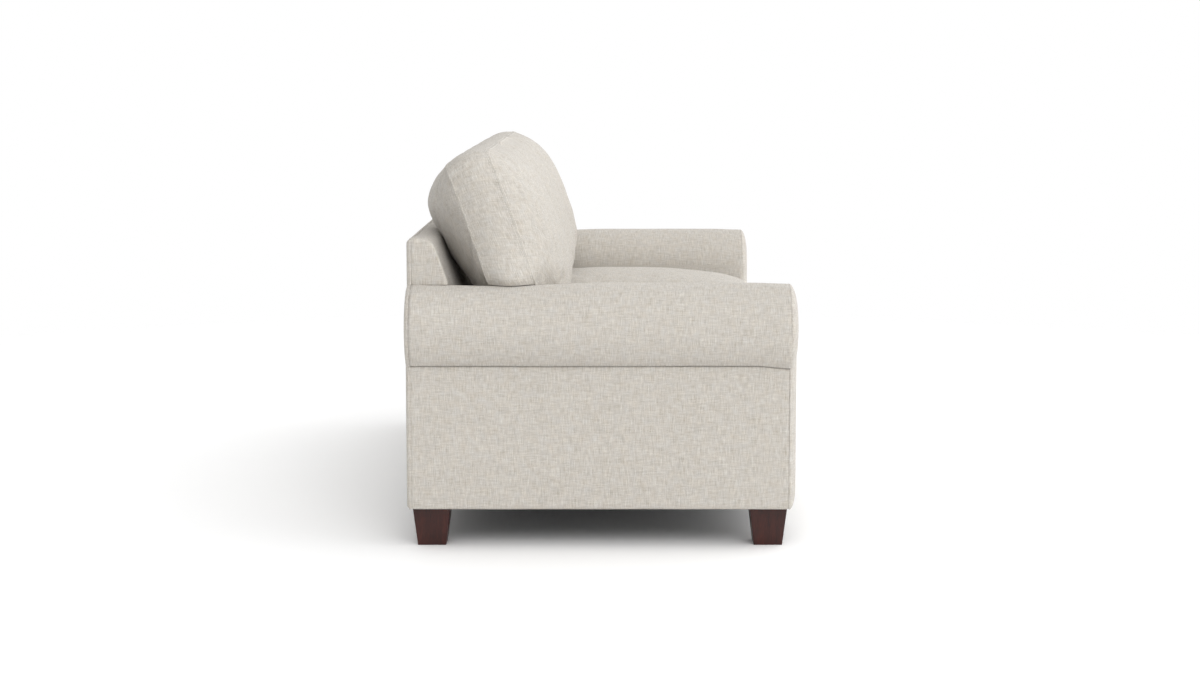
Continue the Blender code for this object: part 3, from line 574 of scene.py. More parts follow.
def relaxed_copy(name, node, cell, rounds, puff, material=None, shape=None):
    """A padded piece that stands for a solid: remeshed, relaxed, and a little swollen."""
    source = frame["nodes"][node]
    bm = bmesh.new()
    bm.from_mesh(source.data)
    bmesh.ops.remove_doubles(bm, verts=bm.verts, dist=1e-5)
    mesh = bpy.data.meshes.new(name + "_start")
    bm.to_mesh(mesh)
    bm.free()
    start = bpy.data.objects.new(name + "_start", mesh)
    bpy.context.scene.collection.objects.link(start)
    step = start.modifiers.new("cells", "REMESH")
    step.mode = "VOXEL"
    step.voxel_size = cell
    made = bpy.data.meshes.new_from_object(start.evaluated_get(bpy.context.evaluated_depsgraph_get()))
    bpy.data.objects.remove(start)
    bm = bmesh.new()
    bm.from_mesh(made)
    bpy.data.meshes.remove(made)
    for _ in range(rounds):
        bmesh.ops.smooth_vert(bm, verts=bm.verts, factor=0.5, use_axis_x=True, use_axis_y=True,
                              use_axis_z=True)
    bm.normal_update()
    for vert in bm.verts:
        lumps = sum(noise.noise(vert.co * count) * share for count, share in PUFF_LUMPS)
        vert.co += vert.normal * puff * (PUFF_EVEN + lumps)
        if shape:
            vert.co = shape(vert.co.copy())
    return close_piece(name, bm, material or cover_cloth, replaces=(node,), laid=flat_lay)


SEAM_LAP = 0.0025            # how far covers that are sewn together reach into their seam
LAP_RUN = 0.050              # and over what length they do so
END_LAP = 0.0035             # the end cover also goes down into the roll
END_LAP_RUN = 0.020
EDGE_DRAW = 0.010            # how far the padding of the back is pulled in at its sides
EDGE_DRAW_WIDTH = 0.120
SEAM_DIP = 0.006             # how far the seam under the roll drops at the front
SEAM_DIP_RUN = 0.085


def dip(y):
    """The seam under the roll drops towards the front, where the cover is drawn in to the panel."""
    return SEAM_DIP * smoothstep((SEAM_Y + SEAM_DIP_RUN - y) / SEAM_DIP_RUN)


def side_shape(co):
    """The side cover follows the seam under the roll, and laps into the seams at its front and rear."""
    co.z -= dip(co.y) * smoothstep((co.z - UNDER_ROLL + LAP_RUN) / LAP_RUN)
    middle = (side_low.y + side_high.y) / 2
    co.y = middle + (co.y - middle) * (1 + 2 * SEAM_LAP / (side_high.y - side_low.y))
    return co


def end_shape(co):
    """The end cover laps into its seams with the outside back and with the roll, which dips there."""
    co.y += SEAM_LAP * smoothstep((co.y - end_high.y + LAP_RUN) / LAP_RUN)
    co.z -= END_LAP * smoothstep((arm_high.z - co.z + END_LAP_RUN) / END_LAP_RUN)
    return co


def drawn_back(co):
    """Towards its sides the padding of the back is pulled in behind the edge of the end covers."""
    co.y += EDGE_DRAW * smoothstep((abs(co.x) - back_high.x + EDGE_DRAW_WIDTH) / EDGE_DRAW_WIDTH)
    return co


relaxed_copy("inside_back_pad", "inside_back", cell=0.0065, rounds=3, puff=0.0012, shape=drawn_back)
relaxed_copy("outside_back_cover", "outside_back", cell=0.0055, rounds=1, puff=0.0004)
relaxed_copy("front_border_pad", "front_border", cell=0.005, rounds=3, puff=0.0010)
relaxed_copy("seat_deck_pad", "seat_deck", cell=0.008, rounds=2, puff=0.0002,
             material=platform_cloth)
for label in ("left", "right"):
    relaxed_copy(label + "_outside_arm_cover", label + "_outside_arm", cell=0.004, rounds=3, puff=0.0010,
                 shape=side_shape)
    relaxed_copy(label + "_back_end_cover", label + "_back_end_panel", cell=0.004, rounds=3, puff=0.0006,
                 shape=end_shape)


# %% [markdown]
# ## The cloth under the frame
# A thin spun-bonded sheet is stapled to the underside of the rails, so that dust and stuffing stay in.
# It is one flat cut, pulled tight with its edge turned under, and it hangs a little between the rails.

# %% Dust cover
DUST_SAG = 0.005             # in the middle
DUST_SLACK = 0.0012          # everywhere between the rails
RAIL_EDGE = 0.030            # up to here the sheet lies flat on the rails
RAIL_RUN = 0.120             # and over this width it comes off them
HEM = 0.014
HEM_EDGE = 0.003
HEM_THICK = 0.0005
SHEET_THICK = 0.0007
SHEET_CELLS = (150, 68)

sheet_low, sheet_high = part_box("dust_cover")
sheet_size = sheet_high - sheet_low
bm = bmesh.new()
bmesh.ops.create_grid(bm, x_segments=SHEET_CELLS[0], y_segments=SHEET_CELLS[1], size=0.5)
bmesh.ops.scale(bm, vec=(sheet_size.x, sheet_size.y, 1), verts=bm.verts)
bmesh.ops.translate(bm, vec=(0, (sheet_low.y + sheet_high.y) / 2, sheet_high.z), verts=bm.verts)
for vert in bm.verts:
    across = vert.co.x / (sheet_size.x / 2)
    deep = (vert.co.y - sheet_low.y) / sheet_size.y * 2 - 1
    edge = min(sheet_high.x - abs(vert.co.x), vert.co.y - sheet_low.y, sheet_high.y - vert.co.y)
    free = smoothstep((edge - RAIL_EDGE) / RAIL_RUN)
    pull = noise.noise(Vector((vert.co.x * 9, vert.co.y * 3, 0))) * DUST_SLACK
    vert.co.z -= (DUST_SAG * (1 - across ** 2) * (1 - deep ** 2) + pull + DUST_SLACK) * free
    vert.co.z -= HEM_THICK * (1 - smoothstep((edge - HEM) / HEM_EDGE))
bmesh.ops.recalc_face_normals(bm, faces=bm.faces)
if next(iter(bm.faces)).normal.z > 0:
    bmesh.ops.reverse_faces(bm, faces=bm.faces)
bmesh.ops.solidify(bm, geom=bm.faces, thickness=SHEET_THICK)
dust_sheet = close_piece("dust_cover_sheet", bm, dust_cloth, replaces=("dust_cover",))

# %% [markdown]
# ## The rolled arms
# Foam is wrapped round a rail and a scroll-shaped board, and one piece of cloth runs from the seat
# up the inside, over the roll and down to a seam tucked under it. Its section is drawn as an upright
# line whose top end is spun round the middle of the roll, then it is pulled out along the arm. The
# padding isn't even: it stands full over the front half, and the back cushion presses on the rest.

# %% Arm rolls
ROLL_STEPS = 84
SIDE_STEPS = 35
ARM_STEPS = 130
ROLL_PADDING = 0.012         # thickness of the shell that is drawn
CREST_RISE = 0.0027          # how full the padding stands
RISE_START = 0.10            # it rises over this length from the front
RISE_END = 0.20              # and falls again over this length behind the sofa's middle
CREST_PRESSED = 0.0055       # how far the back cushion presses it down
PRESSED_Y = 0.26
PRESSED_LENGTH = 0.17
ROLL_WAVE = 0.0015           # how uneven the wadding is
END_TUCK = 0.0005            # how far the cloth turns in at its two ends
END_TUCK_RUN = 0.006


def pressed(y):
    """How far the crest of the roll is pressed down under the weight of the back cushion."""
    return CREST_PRESSED * exp(-((y - PRESSED_Y) / PRESSED_LENGTH) ** 2)


def roll_lay(co, normal):
    """Cloth wound round the roll: v is the way along the section, u the way along the arm."""
    out, up = abs(co.x) - ROLL_X, co.z - ROLL_Z
    if up < 0 and out < 0:
        return co.y, up - ROLL_R * pi / 2
    return co.y, -ROLL_R * atan2(out, up)


def arm_roll(label, side):
    """The cover and padding of one arm, from the deck over the roll to the seam under it."""
    start, end, foot = arm_low.y - SEAM_LAP / 2, arm_high.y + SEAM_LAP / 2, arm_low.z
    turn = acos((PANEL_X - COVER - ROLL_X) / (ROLL_R - PAD))
    bm = bmesh.new()
    low = bm.verts.new((SEAT_X, start, foot))
    top = bm.verts.new((SEAT_X, start, ROLL_Z))
    bm.edges.new((low, top))
    bmesh.ops.spin(bm, geom=[top], cent=(ROLL_X, start, ROLL_Z), axis=(0, 1, 0), angle=pi + turn,
                   steps=ROLL_STEPS, use_merge=False)
    straight = [e for e in bm.edges if e.calc_length() > 0.05]
    bmesh.ops.subdivide_edges(bm, edges=straight, cuts=SIDE_STEPS - 1)
    section = list(bm.edges)
    pulled = bmesh.ops.extrude_edge_only(bm, edges=section)["geom"]
    moved = [item for item in pulled if isinstance(item, bmesh.types.BMVert)]
    bmesh.ops.translate(bm, verts=moved, vec=(0, end - start, 0))
    long_edges = [e for e in bm.edges if abs(e.verts[0].co.y - e.verts[1].co.y) > 0.1]
    bmesh.ops.subdivide_edges(bm, edges=long_edges, cuts=ARM_STEPS - 1, use_grid_fill=True)
    for vert in bm.verts:
        share = (vert.co.y - start) / (end - start)
        out, up = vert.co.x - ROLL_X, vert.co.z - ROLL_Z
        height = max(up, 0.0) / ROLL_R
        middle = sin(pi * share)
        risen = smoothstep((vert.co.y - start) / RISE_START) * (1 - smoothstep(vert.co.y / RISE_END))
        vert.co.z += (CREST_RISE * risen - pressed(vert.co.y)) * height
        # the lower outer part of the roll follows the seam that drops under it
        under = smoothstep((out * 0.8 - up - 0.06) / 0.08) if out > 0 else 0.0
        vert.co.z -= dip(vert.co.y) * under
        # the cloth turns in at its two ends
        reach = min(vert.co.y - start, end - vert.co.y)
        tuck = max(0.0, 1 - reach / END_TUCK_RUN)
        if up > 0 or out > 0:
            away = Vector((out, 0, up)).normalized()
            wave = noise.noise(Vector((vert.co.x * 9, vert.co.y * 5, vert.co.z * 9)))
            turned = END_TUCK * (1 - sqrt(max(0.0, 1 - tuck * tuck)))
            vert.co += away * (ROLL_WAVE * wave * middle - turned)
    bmesh.ops.recalc_face_normals(bm, faces=bm.faces)
    crest = Vector((ROLL_X, 0, ROLL_Z + ROLL_R))
    crest_face = min(bm.faces, key=lambda face: (face.calc_center_median() - crest).length)
    if crest_face.normal.z < 0:
        bmesh.ops.reverse_faces(bm, faces=bm.faces)
    bmesh.ops.solidify(bm, geom=bm.faces, thickness=ROLL_PADDING)
    if side < 0:
        bmesh.ops.scale(bm, vec=(-1, 1, 1), verts=bm.verts)
    return close_piece(label + "_arm_roll", bm, cover_cloth, replaces=(label + "_inside_arm",),
                       laid=roll_lay)


arm_roll("left", -1)
arm_roll("right", 1)

# %% [markdown]
# ## The front panels
# The front of each arm is one shaped piece of cloth over a padded scroll board. Its outline is the
# section of the arm: a straight inner side, the roll, and the neck under it. The face is inset again
# and again while it rises along a quarter of an ellipse, which gives a soft dome.

# %% Front arm panels
PANEL_STEPS = 96
DOME = 0.072                 # how far in from the rim the panel is still rising
DOME_STEPS = 22
SIDE_CUTS, FOOT_CUTS = 60, 24


def scroll_ring(bm, inset, y):
    """The outline of an arm's front, shrunk by an inset, as a loop of edges."""
    before = set(bm.edges)
    radius = ROLL_R - inset
    neck = acos((PANEL_X - inset - ROLL_X) / radius)
    inner_foot = bm.verts.new((SEAT_X + inset, y, COVER_FOOT + inset))
    inner_top = bm.verts.new((SEAT_X + inset, y, ROLL_Z))
    spun = bmesh.ops.spin(bm, geom=[inner_top], cent=(ROLL_X, y, ROLL_Z), axis=(0, 1, 0),
                          angle=pi + neck, steps=PANEL_STEPS, use_merge=False)
    neck_end = next(item for item in spun["geom_last"] if isinstance(item, bmesh.types.BMVert))
    outer_foot = bm.verts.new((PANEL_X - inset, y, COVER_FOOT + inset))
    sides = [bm.edges.new((inner_foot, inner_top)), bm.edges.new((neck_end, outer_foot))]
    base = bm.edges.new((outer_foot, inner_foot))
    bmesh.ops.subdivide_edges(bm, edges=sides, cuts=SIDE_CUTS)
    bmesh.ops.subdivide_edges(bm, edges=[base], cuts=FOOT_CUTS)
    return [e for e in bm.edges if e not in before]


def front_panel(label, side):
    """The padded front of one arm."""
    depth = front_high.y - front_low.y
    bm = bmesh.new()
    rings = [scroll_ring(bm, 0.0, SEAM_Y)]
    for step in range(1, DOME_STEPS + 1):
        angle = pi / 2 * step / DOME_STEPS
        rings.append(scroll_ring(bm, DOME * (1 - cos(angle)), SEAM_Y - depth * sin(angle)))
    for first, second in zip(rings, rings[1:]):
        bmesh.ops.bridge_loops(bm, edges=first + second)
    for ring in (rings[0], rings[-1]):
        bmesh.ops.contextual_create(bm, geom=ring)
    bmesh.ops.triangulate(bm, faces=[f for f in bm.faces if len(f.verts) > 8])
    if side < 0:
        bmesh.ops.scale(bm, vec=(-1, 1, 1), verts=bm.verts)
    return close_piece(label + "_front_arm_pad", bm, cover_cloth,
                       replaces=(label + "_front_arm_panel",),
                       laid=lambda co, normal: (co.x, co.z))


front_panel("left", -1)
front_panel("right", 1)

# %% [markdown]
# ## Cushions
# Each cushion is a box of cloth round a stuffed insert: two face panels and a band between them,
# called the boxing. The faces swell, the sides pull in between the corners, and the two seams that
# join faces and boxing stay tight. Such a form could be sculpted by hand. Here a cube is cut into fine
# cells and a formula puts each cell in its place, so the panels always meet along their seams.

# %% Cushion cut
ACROSS = 66                  # cells along a face panel
DEEP = 52
BAND = 12                    # cells across the boxing
CELL_CROWD = 0.30            # how much the cells crowd towards the seams
FACE = 0.999                 # a share of the thickness past this is on a face panel


def cushion_grid():
    """A cube cut into fine cells: its top and bottom are the face panels, its sides are the boxing."""
    bm = bmesh.new()
    bmesh.ops.create_cube(bm, size=2)
    for axis, cells in enumerate((ACROSS, DEEP, BAND)):
        along = [e for e in bm.edges if abs(e.verts[0].co[axis] - e.verts[1].co[axis]) > 1]
        bmesh.ops.subdivide_edges(bm, edges=along, cuts=cells - 1, use_grid_fill=True)
    for vert in bm.verts:
        for axis in (0, 1):
            share = vert.co[axis]
            vert.co[axis] = (1 - CELL_CROWD) * share + CELL_CROWD * sin(share * pi / 2)
    return bm


def soften(across, deep, draw, corner):
    """Round a square's corners and draw its sides in between them."""
    longest = max(abs(across), abs(deep))
    if not longest:
        return 0.0, 0.0
    pull = longest / (abs(across) ** corner + abs(deep) ** corner) ** (1 / corner)
    return (across * pull * (1 - draw * (1 - deep ** 2) * across ** 2),
            deep * pull * (1 - draw * (1 - across ** 2) * deep ** 2))


print("cushion cells", ACROSS, DEEP, BAND)

# %% [markdown]
# ### Seat cushions
# A seat cushion stands flat on the deck, and only its top crowns. Its rear follows the rake of the
# back, so that no gap shows behind it.

# %% Seat cushion form
CUSHION_CLEARANCE = 0.002    # to the back and to the arms
SEAT_CORNER = 14.0           # higher is a squarer corner
SEAT_BOXING = 0.165
SEAT_CROWN = 0.040
SEAT_ROUND = 0.39            # lower is fuller near the seams
SEAT_DRAW = 0.012            # how far the sides draw in between the corners, as a share
SEAT_PULL = 0.006            # how far the two seams stand back from the middle of the boxing
seat_low, seat_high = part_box("centre_seat_cushion")


def seat_top(share):
    """Side view of the seat's crown, from -1 at the front to 1 at the rear."""
    height = seat_low.z + SEAT_BOXING + SEAT_CROWN * (1 - share ** 2) ** SEAT_ROUND
    rear = back_face(height) - CUSHION_CLEARANCE
    return seat_low.y + (rear - seat_low.y) * (share + 1) / 2, height


def seat_form(across, deep, up):
    """A point of a seat cushion, from shares of its width, depth and thickness."""
    height = seat_low.z + SEAT_BOXING * (up + 1) / 2
    if up > FACE:
        height += SEAT_CROWN * ((1 - across ** 2) * (1 - deep ** 2)) ** SEAT_ROUND
    x, y = soften(across, deep, SEAT_DRAW, SEAT_CORNER)
    pull = SEAT_PULL * up ** 2
    rear = back_face(height) - CUSHION_CLEARANCE
    half = (seat_high.x - seat_low.x) / 2
    front = seat_low.y
    return Vector((x * (half - pull), front + pull + (rear - 2 * pull - front) * (y + 1) / 2, height))


print("the seat crowns at", round(seat_top(0.0)[1], 4), "above the floor")

# %% [markdown]
# ### Back cushions
# A back cushion leans on the raked back and stands on the crown of the seat. The outer two also lie
# over the rolls of the arms, which lift the corner of their feet, and there they swell out. A stuffed
# panel this large never lies smooth: soft slanting creases cross it, and folds run out of its corners.

# %% Back cushion measures
BACK_CORNER = 9.0
BACK_BOXING = 0.094
BACK_FRONT_CROWN = 0.112
BACK_REAR_CROWN = 0.125
BACK_HEIGHT = 0.479
BACK_FOOT = 0.295            # from the sofa's rear to the foot
BACK_SINK = 0.004            # how far the foot sinks into the seat
BACK_SEAM_REAR = -0.047      # where the two seams lie, from the middle of the cushion's thickness
BACK_SEAM_FRONT = 0.066
BACK_DRAW = 0.020
BACK_PULL = 0.014
TOP_ROUND = 0.46             # lower is fuller near the seams
FOOT_ROUND = 0.30
REST_SHARE = 0.40            # where on the seat's crown the cushions stand


def rest_plane(depth):
    """The sloping plane that touches the seat's crown, which the back cushions stand on."""
    near, far = seat_top(REST_SHARE), seat_top(REST_SHARE + 0.01)
    slope = (far[1] - near[1]) / (far[0] - near[0])
    return near[1] + slope * (depth - near[0])


foot_y = cad_high.y - BACK_FOOT
foot_z = rest_plane(foot_y) - BACK_SINK
print("the back cushions stand at", round(foot_y, 4), round(foot_z, 4))

# %% Over the roll of the arm
ROLL_CLEARANCE = 0.001
LIE_START, LIE_RUN = 0.030, 0.070      # a cushion comes to lie on the roll from this far inside the arm
LIFT_START, LIFT_RUN = 0.022, 0.050    # and its foot is lifted by the roll from this far inside it
ROLL_BEHIND = 0.04           # the roll's height is taken this far behind the foot
BELLY = 0.058                # how far the foot of the boxing swells out over an arm
BELLY_RISE = 0.42            # and how far up, as a share of half the cushion's height
BELLY_SEAMS = 0.3            # at the two seams it swells this much less, as a share
FOOT_THINNER = 0.5           # over an arm the foot of the front panel is less full by this
REAR_TUCK = 0.045            # up to this height over the roll the rear panel is drawn in


def roll_top(out, y):
    """Height of the arm's roll, with a clearance, at a distance from the sofa's middle."""
    off = out - ROLL_X
    reach = ROLL_R + ROLL_CLEARANCE
    rise = sqrt(max(reach * reach - off * off, 0.0))
    return ROLL_Z + rise - pressed(y) * rise / reach


print("the roll is", round(roll_top(ROLL_X, foot_y), 4), "high beside the cushions' feet")

# %% Creases and puckers
CREASE = 0.0035              # depth of the soft creases
CREASE_EDGE = 0.25           # they fade out over this share of the panel's half
PUCKER = 0.0022              # depth of the folds at the corners
PUCKER_COUNT = 9
PUCKER_START, PUCKER_REACH = 0.012, 0.035


def folds(across, deep, half, middle):
    """Soft slanting creases of a stuffed front panel, and the puckers that run out of its corners."""
    slant = noise.noise(Vector(((across - deep) * 3.2 + middle * 7, (across + deep) * 0.9, middle * 3)))
    depth = CREASE * slant * smoothstep((1 - max(abs(across), abs(deep))) / CREASE_EDGE)
    for side in (-1, 1):
        for end in (-1, 1):
            run, rise = (across - side) * half, (deep - end) * BACK_HEIGHT / 2
            reach = sqrt(run * run + rise * rise)
            near = exp(-((reach - PUCKER_START) / PUCKER_REACH) ** 2)
            depth += PUCKER * near * sin(PUCKER_COUNT * atan2(rise, run) + middle)
    return depth


print("creases up to", CREASE, "deep")

# %% Back cushion form
REAR_MIDDLE = 0.62           # how full the rear panel is at mid height
REAR_SLOPE = 0.60            # and how much fuller it gets towards its top
REAR_SIDE_ROUND = 0.9


def back_form(across, deep, up, half, middle):
    """A point of a back cushion: it leans on the back, stands on the seat and lies over the arm's roll."""
    x, share = soften(across, deep, BACK_DRAW, BACK_CORNER)
    pull = BACK_PULL * up ** 2
    share = (share + 1) / 2
    out = middle + x * (half - pull)
    lying = smoothstep((abs(out) - SEAT_X + LIE_START) / LIE_RUN) if middle else 0.0
    # the foot of the side that lies over the arm swells out over the roll and rests on it
    belly = BELLY * lying * (1 - BELLY_SEAMS * up ** 2) * exp(-((deep + 1) / BELLY_RISE) ** 2)
    out += belly if out > 0 else -belly
    share += ((deep + 1) / 2 - share) * lying * smoothstep(-2 * deep)
    forward = BACK_SEAM_REAR + (BACK_SEAM_FRONT - BACK_SEAM_REAR) * (up + 1) / 2

    def risen(forward):
        """How far up along the back the point is, from the seat or from the roll under it."""
        lifted = smoothstep((abs(out) - SEAT_X + LIFT_START) / LIFT_RUN) if middle else 0.0
        top = roll_top(abs(out), foot_y + ROLL_BEHIND - forward * cos(RAKE))
        base = max(0.0, (top - foot_z - forward * sin(RAKE)) / cos(RAKE)) * lifted
        return base + share * (BACK_HEIGHT - pull - base)

    above = max(foot_z + risen(forward) * cos(RAKE) + forward * sin(RAKE) - arm_high.z, 0.0)
    roundness = TOP_ROUND if deep > 0 else FOOT_ROUND + FOOT_THINNER * lying * max(up, 0.0)
    rounding = (1 - deep ** 2) ** roundness
    if up > FACE:
        crown = BACK_BOXING / 2 + BACK_FRONT_CROWN - BACK_SEAM_FRONT
        forward += crown * rounding * (1 - across ** 2) ** 0.5
        forward += folds(across, deep, half, middle)
    if up < -FACE:
        # the rear panel leaves its side seams at an angle, so the seam shows as a fold; it hollows towards
        # its foot and is drawn in close over the arm, which leaves a dark gap between it and the back
        swell = max(1 - across ** 2, 0.0) ** REAR_SIDE_ROUND
        full = min(max(REAR_MIDDLE + REAR_SLOPE * deep, 0.0), 1.0)
        drawn = 1 - min(above / REAR_TUCK, 1.0)
        crown = BACK_BOXING / 2 + BACK_REAR_CROWN + BACK_SEAM_REAR
        forward -= crown * rounding * swell * full * (1 - lying * drawn)
    rise = risen(forward)
    return Vector((out, foot_y + rise * sin(RAKE) - forward * cos(RAKE),
                   foot_z + rise * cos(RAKE) + forward * sin(RAKE)))


crest = back_form(0.0, 1.0, 0.0, 0.3, 0.0)
print("the top of a back cushion is at", round(crest.y, 4), round(crest.z, 4))

# %% [markdown]
# ### Neighbours
# A cushion that is stuffed hard still gives way to what it leans on. So each point that comes too
# near the seat, the back or the roll of an arm is moved out to its surface, first when the cushion is
# shaped and again when it is inflated.


# %% Neighbours press on the cushions
def press(co):
    """Keep a point of a back cushion out of the seat, the back and the arms."""
    co.z = max(co.z, rest_plane(co.y) + GAP)
    gap = CUSHION_CLEARANCE / cos(RAKE)
    top = back_high.z + CUSHION_CLEARANCE
    if co.y > back_face(co.z) - gap and co.z < top:
        behind = co.y - back_face(co.z) + gap
        if top - co.z < behind * cos(RAKE):
            co.z = top
        else:
            co.y -= behind
    out, up = abs(co.x) - ROLL_X, co.z - ROLL_Z
    if out < 0 and up < 0:
        co.x = max(-SEAT_X + CUSHION_CLEARANCE, min(SEAT_X - CUSHION_CLEARANCE, co.x))
        return co
    away = Vector((out, up)).normalized()
    away *= ROLL_R + ROLL_CLEARANCE - pressed(co.y) * away.y ** 2
    if sqrt(out * out + up * up) < away.length:
        co.x = (ROLL_X + away.x) * (1 if co.x > 0 else -1)
        co.z = ROLL_Z + away.y
    return co


SIDE_CUT, END_CUT = 2.0, 3.0     # where on the roll of cloth the boxing's strips are cut


def cushion_lay(bm, half, deep_size, band_size):
    """Cloth UVs from the cell's place in the cube, panel by panel."""
    layer = bm.loops.layers.uv.new("cloth")
    for face in bm.faces:
        n = face.normal
        for loop in face.loops:
            across, deep, up = loop.vert.co
            if abs(n.z) > 0.5:
                loop[layer].uv = (across * half, deep * deep_size / 2)
            elif abs(n.x) > 0.5:
                loop[layer].uv = (up * band_size / 2 + SIDE_CUT, deep * deep_size / 2)
            else:
                loop[layer].uv = (across * half, up * band_size / 2 + END_CUT)


def seam_edges(bm):
    """The two loops of edges where the face panels meet the boxing."""
    return [e for e in bm.edges if len(e.link_faces) == 2
            and (abs(e.link_faces[0].normal.z) > 0.5) != (abs(e.link_faces[1].normal.z) > 0.5)]


print("the boxing is cut", SIDE_CUT, "and", END_CUT, "along the cloth")

# %% [markdown]
# ### Inflation
# The cover is sewn a little too large for its insert, and the stuffing pushes it out until the cloth is
# tight. That swell, and the small creases in it, could be painted. Blender's cloth solver finds them by
# itself: the cover is blown up from inside, while its seams and its boxing are held, because the insert
# behind them is firm.


# %% Inflate a cover
SHRINK_START = 0.006         # the cover starts this much inside its final place
SWELL_CAP = 0.026            # no point moves further than this
SEAM_HOLD = 0.95             # how firmly the seams keep their line
BAND_HOLD = 0.6              # how firmly the boxing between them keeps its place
LEAN_HOLD = 0.9              # how firmly a back cushion is held where it leans or stands
CLOTH_FRAMES = 20


def inflate(piece, holds, keep, pressure, slack):
    """Blow the cover up from inside with the cloth solver; holds are the points that stay put."""
    mesh = piece.data
    start = [v.co.copy() for v in mesh.vertices]
    for vert in mesh.vertices:
        vert.co = vert.co - vert.normal * SHRINK_START * (1 - holds[vert.index])
    group = piece.vertex_groups.new(name="hold")
    for index, weight in enumerate(holds):
        if weight > 0:
            group.add([index], weight, "REPLACE")
    cloth = piece.modifiers.new("stuffing", "CLOTH")
    cloth.settings.quality = 5
    cloth.settings.mass = 0.25
    cloth.settings.tension_stiffness = 12.0
    cloth.settings.compression_stiffness = 8.0
    cloth.settings.shear_stiffness = 4.0
    cloth.settings.bending_stiffness = 0.08
    cloth.settings.shrink_min = -slack
    cloth.settings.use_pressure = True
    cloth.settings.uniform_pressure_force = pressure
    cloth.settings.vertex_group_mass = "hold"
    cloth.settings.pin_stiffness = 4.0
    cloth.settings.effector_weights.gravity = 0.0
    cloth.collision_settings.use_collision = False
    cloth.point_cache.frame_start = 1
    cloth.point_cache.frame_end = CLOTH_FRAMES
    for number in range(1, CLOTH_FRAMES + 1):
        bpy.context.scene.frame_set(number)
    solved = piece.evaluated_get(bpy.context.evaluated_depsgraph_get())
    moved = [v.co.copy() for v in solved.data.vertices]
    piece.modifiers.remove(cloth)
    bpy.context.scene.frame_set(1)
    furthest, total = 0.0, 0.0
    for vert, first, now in zip(mesh.vertices, start, moved):
        step = now - first
        if step.length > SWELL_CAP:
            step *= SWELL_CAP / step.length
        vert.co = keep(first + step)
        furthest = max(furthest, step.length)
        total += step.length
    mesh.update()
    print(piece.name, "inflated: points moved", round(total / len(start) * 1000, 1), "mm on average,",
          round(furthest * 1000, 1), "mm at most, top", round(max(v.co.z for v in mesh.vertices), 4))


print("a cover is inflated in", CLOTH_FRAMES, "frames")

# %% [markdown]
# ### Seams
# Where two panels meet, their edges are turned in, which makes a ridge on both sides of a narrow
# groove, and a row of topstitching holds each ridge down. Bevelling the seam's edges gives cells that
# are fine enough for this relief, and each stitch is a short piece of thread that is laid on the
# finished surface.


# %% Sewn seams
SEAM_CUT = 0.0068            # half the width of the fine cells along a seam
SEAM_REACH = 0.0086          # half the width that the seam's relief takes
SEAM_CELLS = 10
SEAM_POINTS = 0.001          # distance between the points that stand for a seam's line
GROOVE_HALF = 0.0018
GROOVE_DEEP = 0.0008
RIDGE_LINE = 0.0035          # from the groove to the top of a ridge
RIDGE_HALF = 0.0016
RIDGE_HIGH = 0.0024
CRUMPLE = 0.0012             # the stuffing is never quite even
CRUMPLE_COUNT = 21.0         # lumps to a metre
STITCH_LINE = 0.0056         # topstitching runs on the outer side of each ridge
STITCH_PITCH = 0.0066        # real stitches are 4 mm; drawn longer, because shorter ones don't show
STITCH_SHARE = 0.72          # how much of the pitch a stitch takes
STITCH_THICK = 0.0012        # real thread is 0.4 mm; drawn thicker for the same reason
STITCH_LIFTS = (-0.2, 0.3, -0.2)     # how far its start, middle and end stand off, in threads


def ordered_loops(edges):
    """Put a set of edges in order, as closed loops of points."""
    left = set(edges)
    loops = []
    while left:
        edge = left.pop()
        first, here = edge.verts
        loop = [first, here]
        while here != first:
            edge = next(e for e in here.link_edges if e in left)
            left.remove(edge)
            here = edge.other_vert(here)
            loop.append(here)
        loops.append([v.co.copy() for v in loop[:-1]])
    return loops


def resample(loop, pitch):
    """Points at even steps along a closed loop."""
    ends = list(zip(loop, loop[1:] + loop[:1]))
    total = sum((b - a).length for a, b in ends)
    count = round(total / pitch)
    points, done, number = [], 0.0, 0
    for a, b in ends:
        length = (b - a).length
        while number < count and number * total / count <= done + length:
            points.append(a.lerp(b, (number * total / count - done) / length))
            number += 1
        done += length
    return points


def seam_relief(distance):
    """How much of the ridge and of the groove there is at a distance from the middle of a seam."""
    return exp(-((distance - RIDGE_LINE) / RIDGE_HALF) ** 2), smoothstep(1 - distance / GROOVE_HALF)


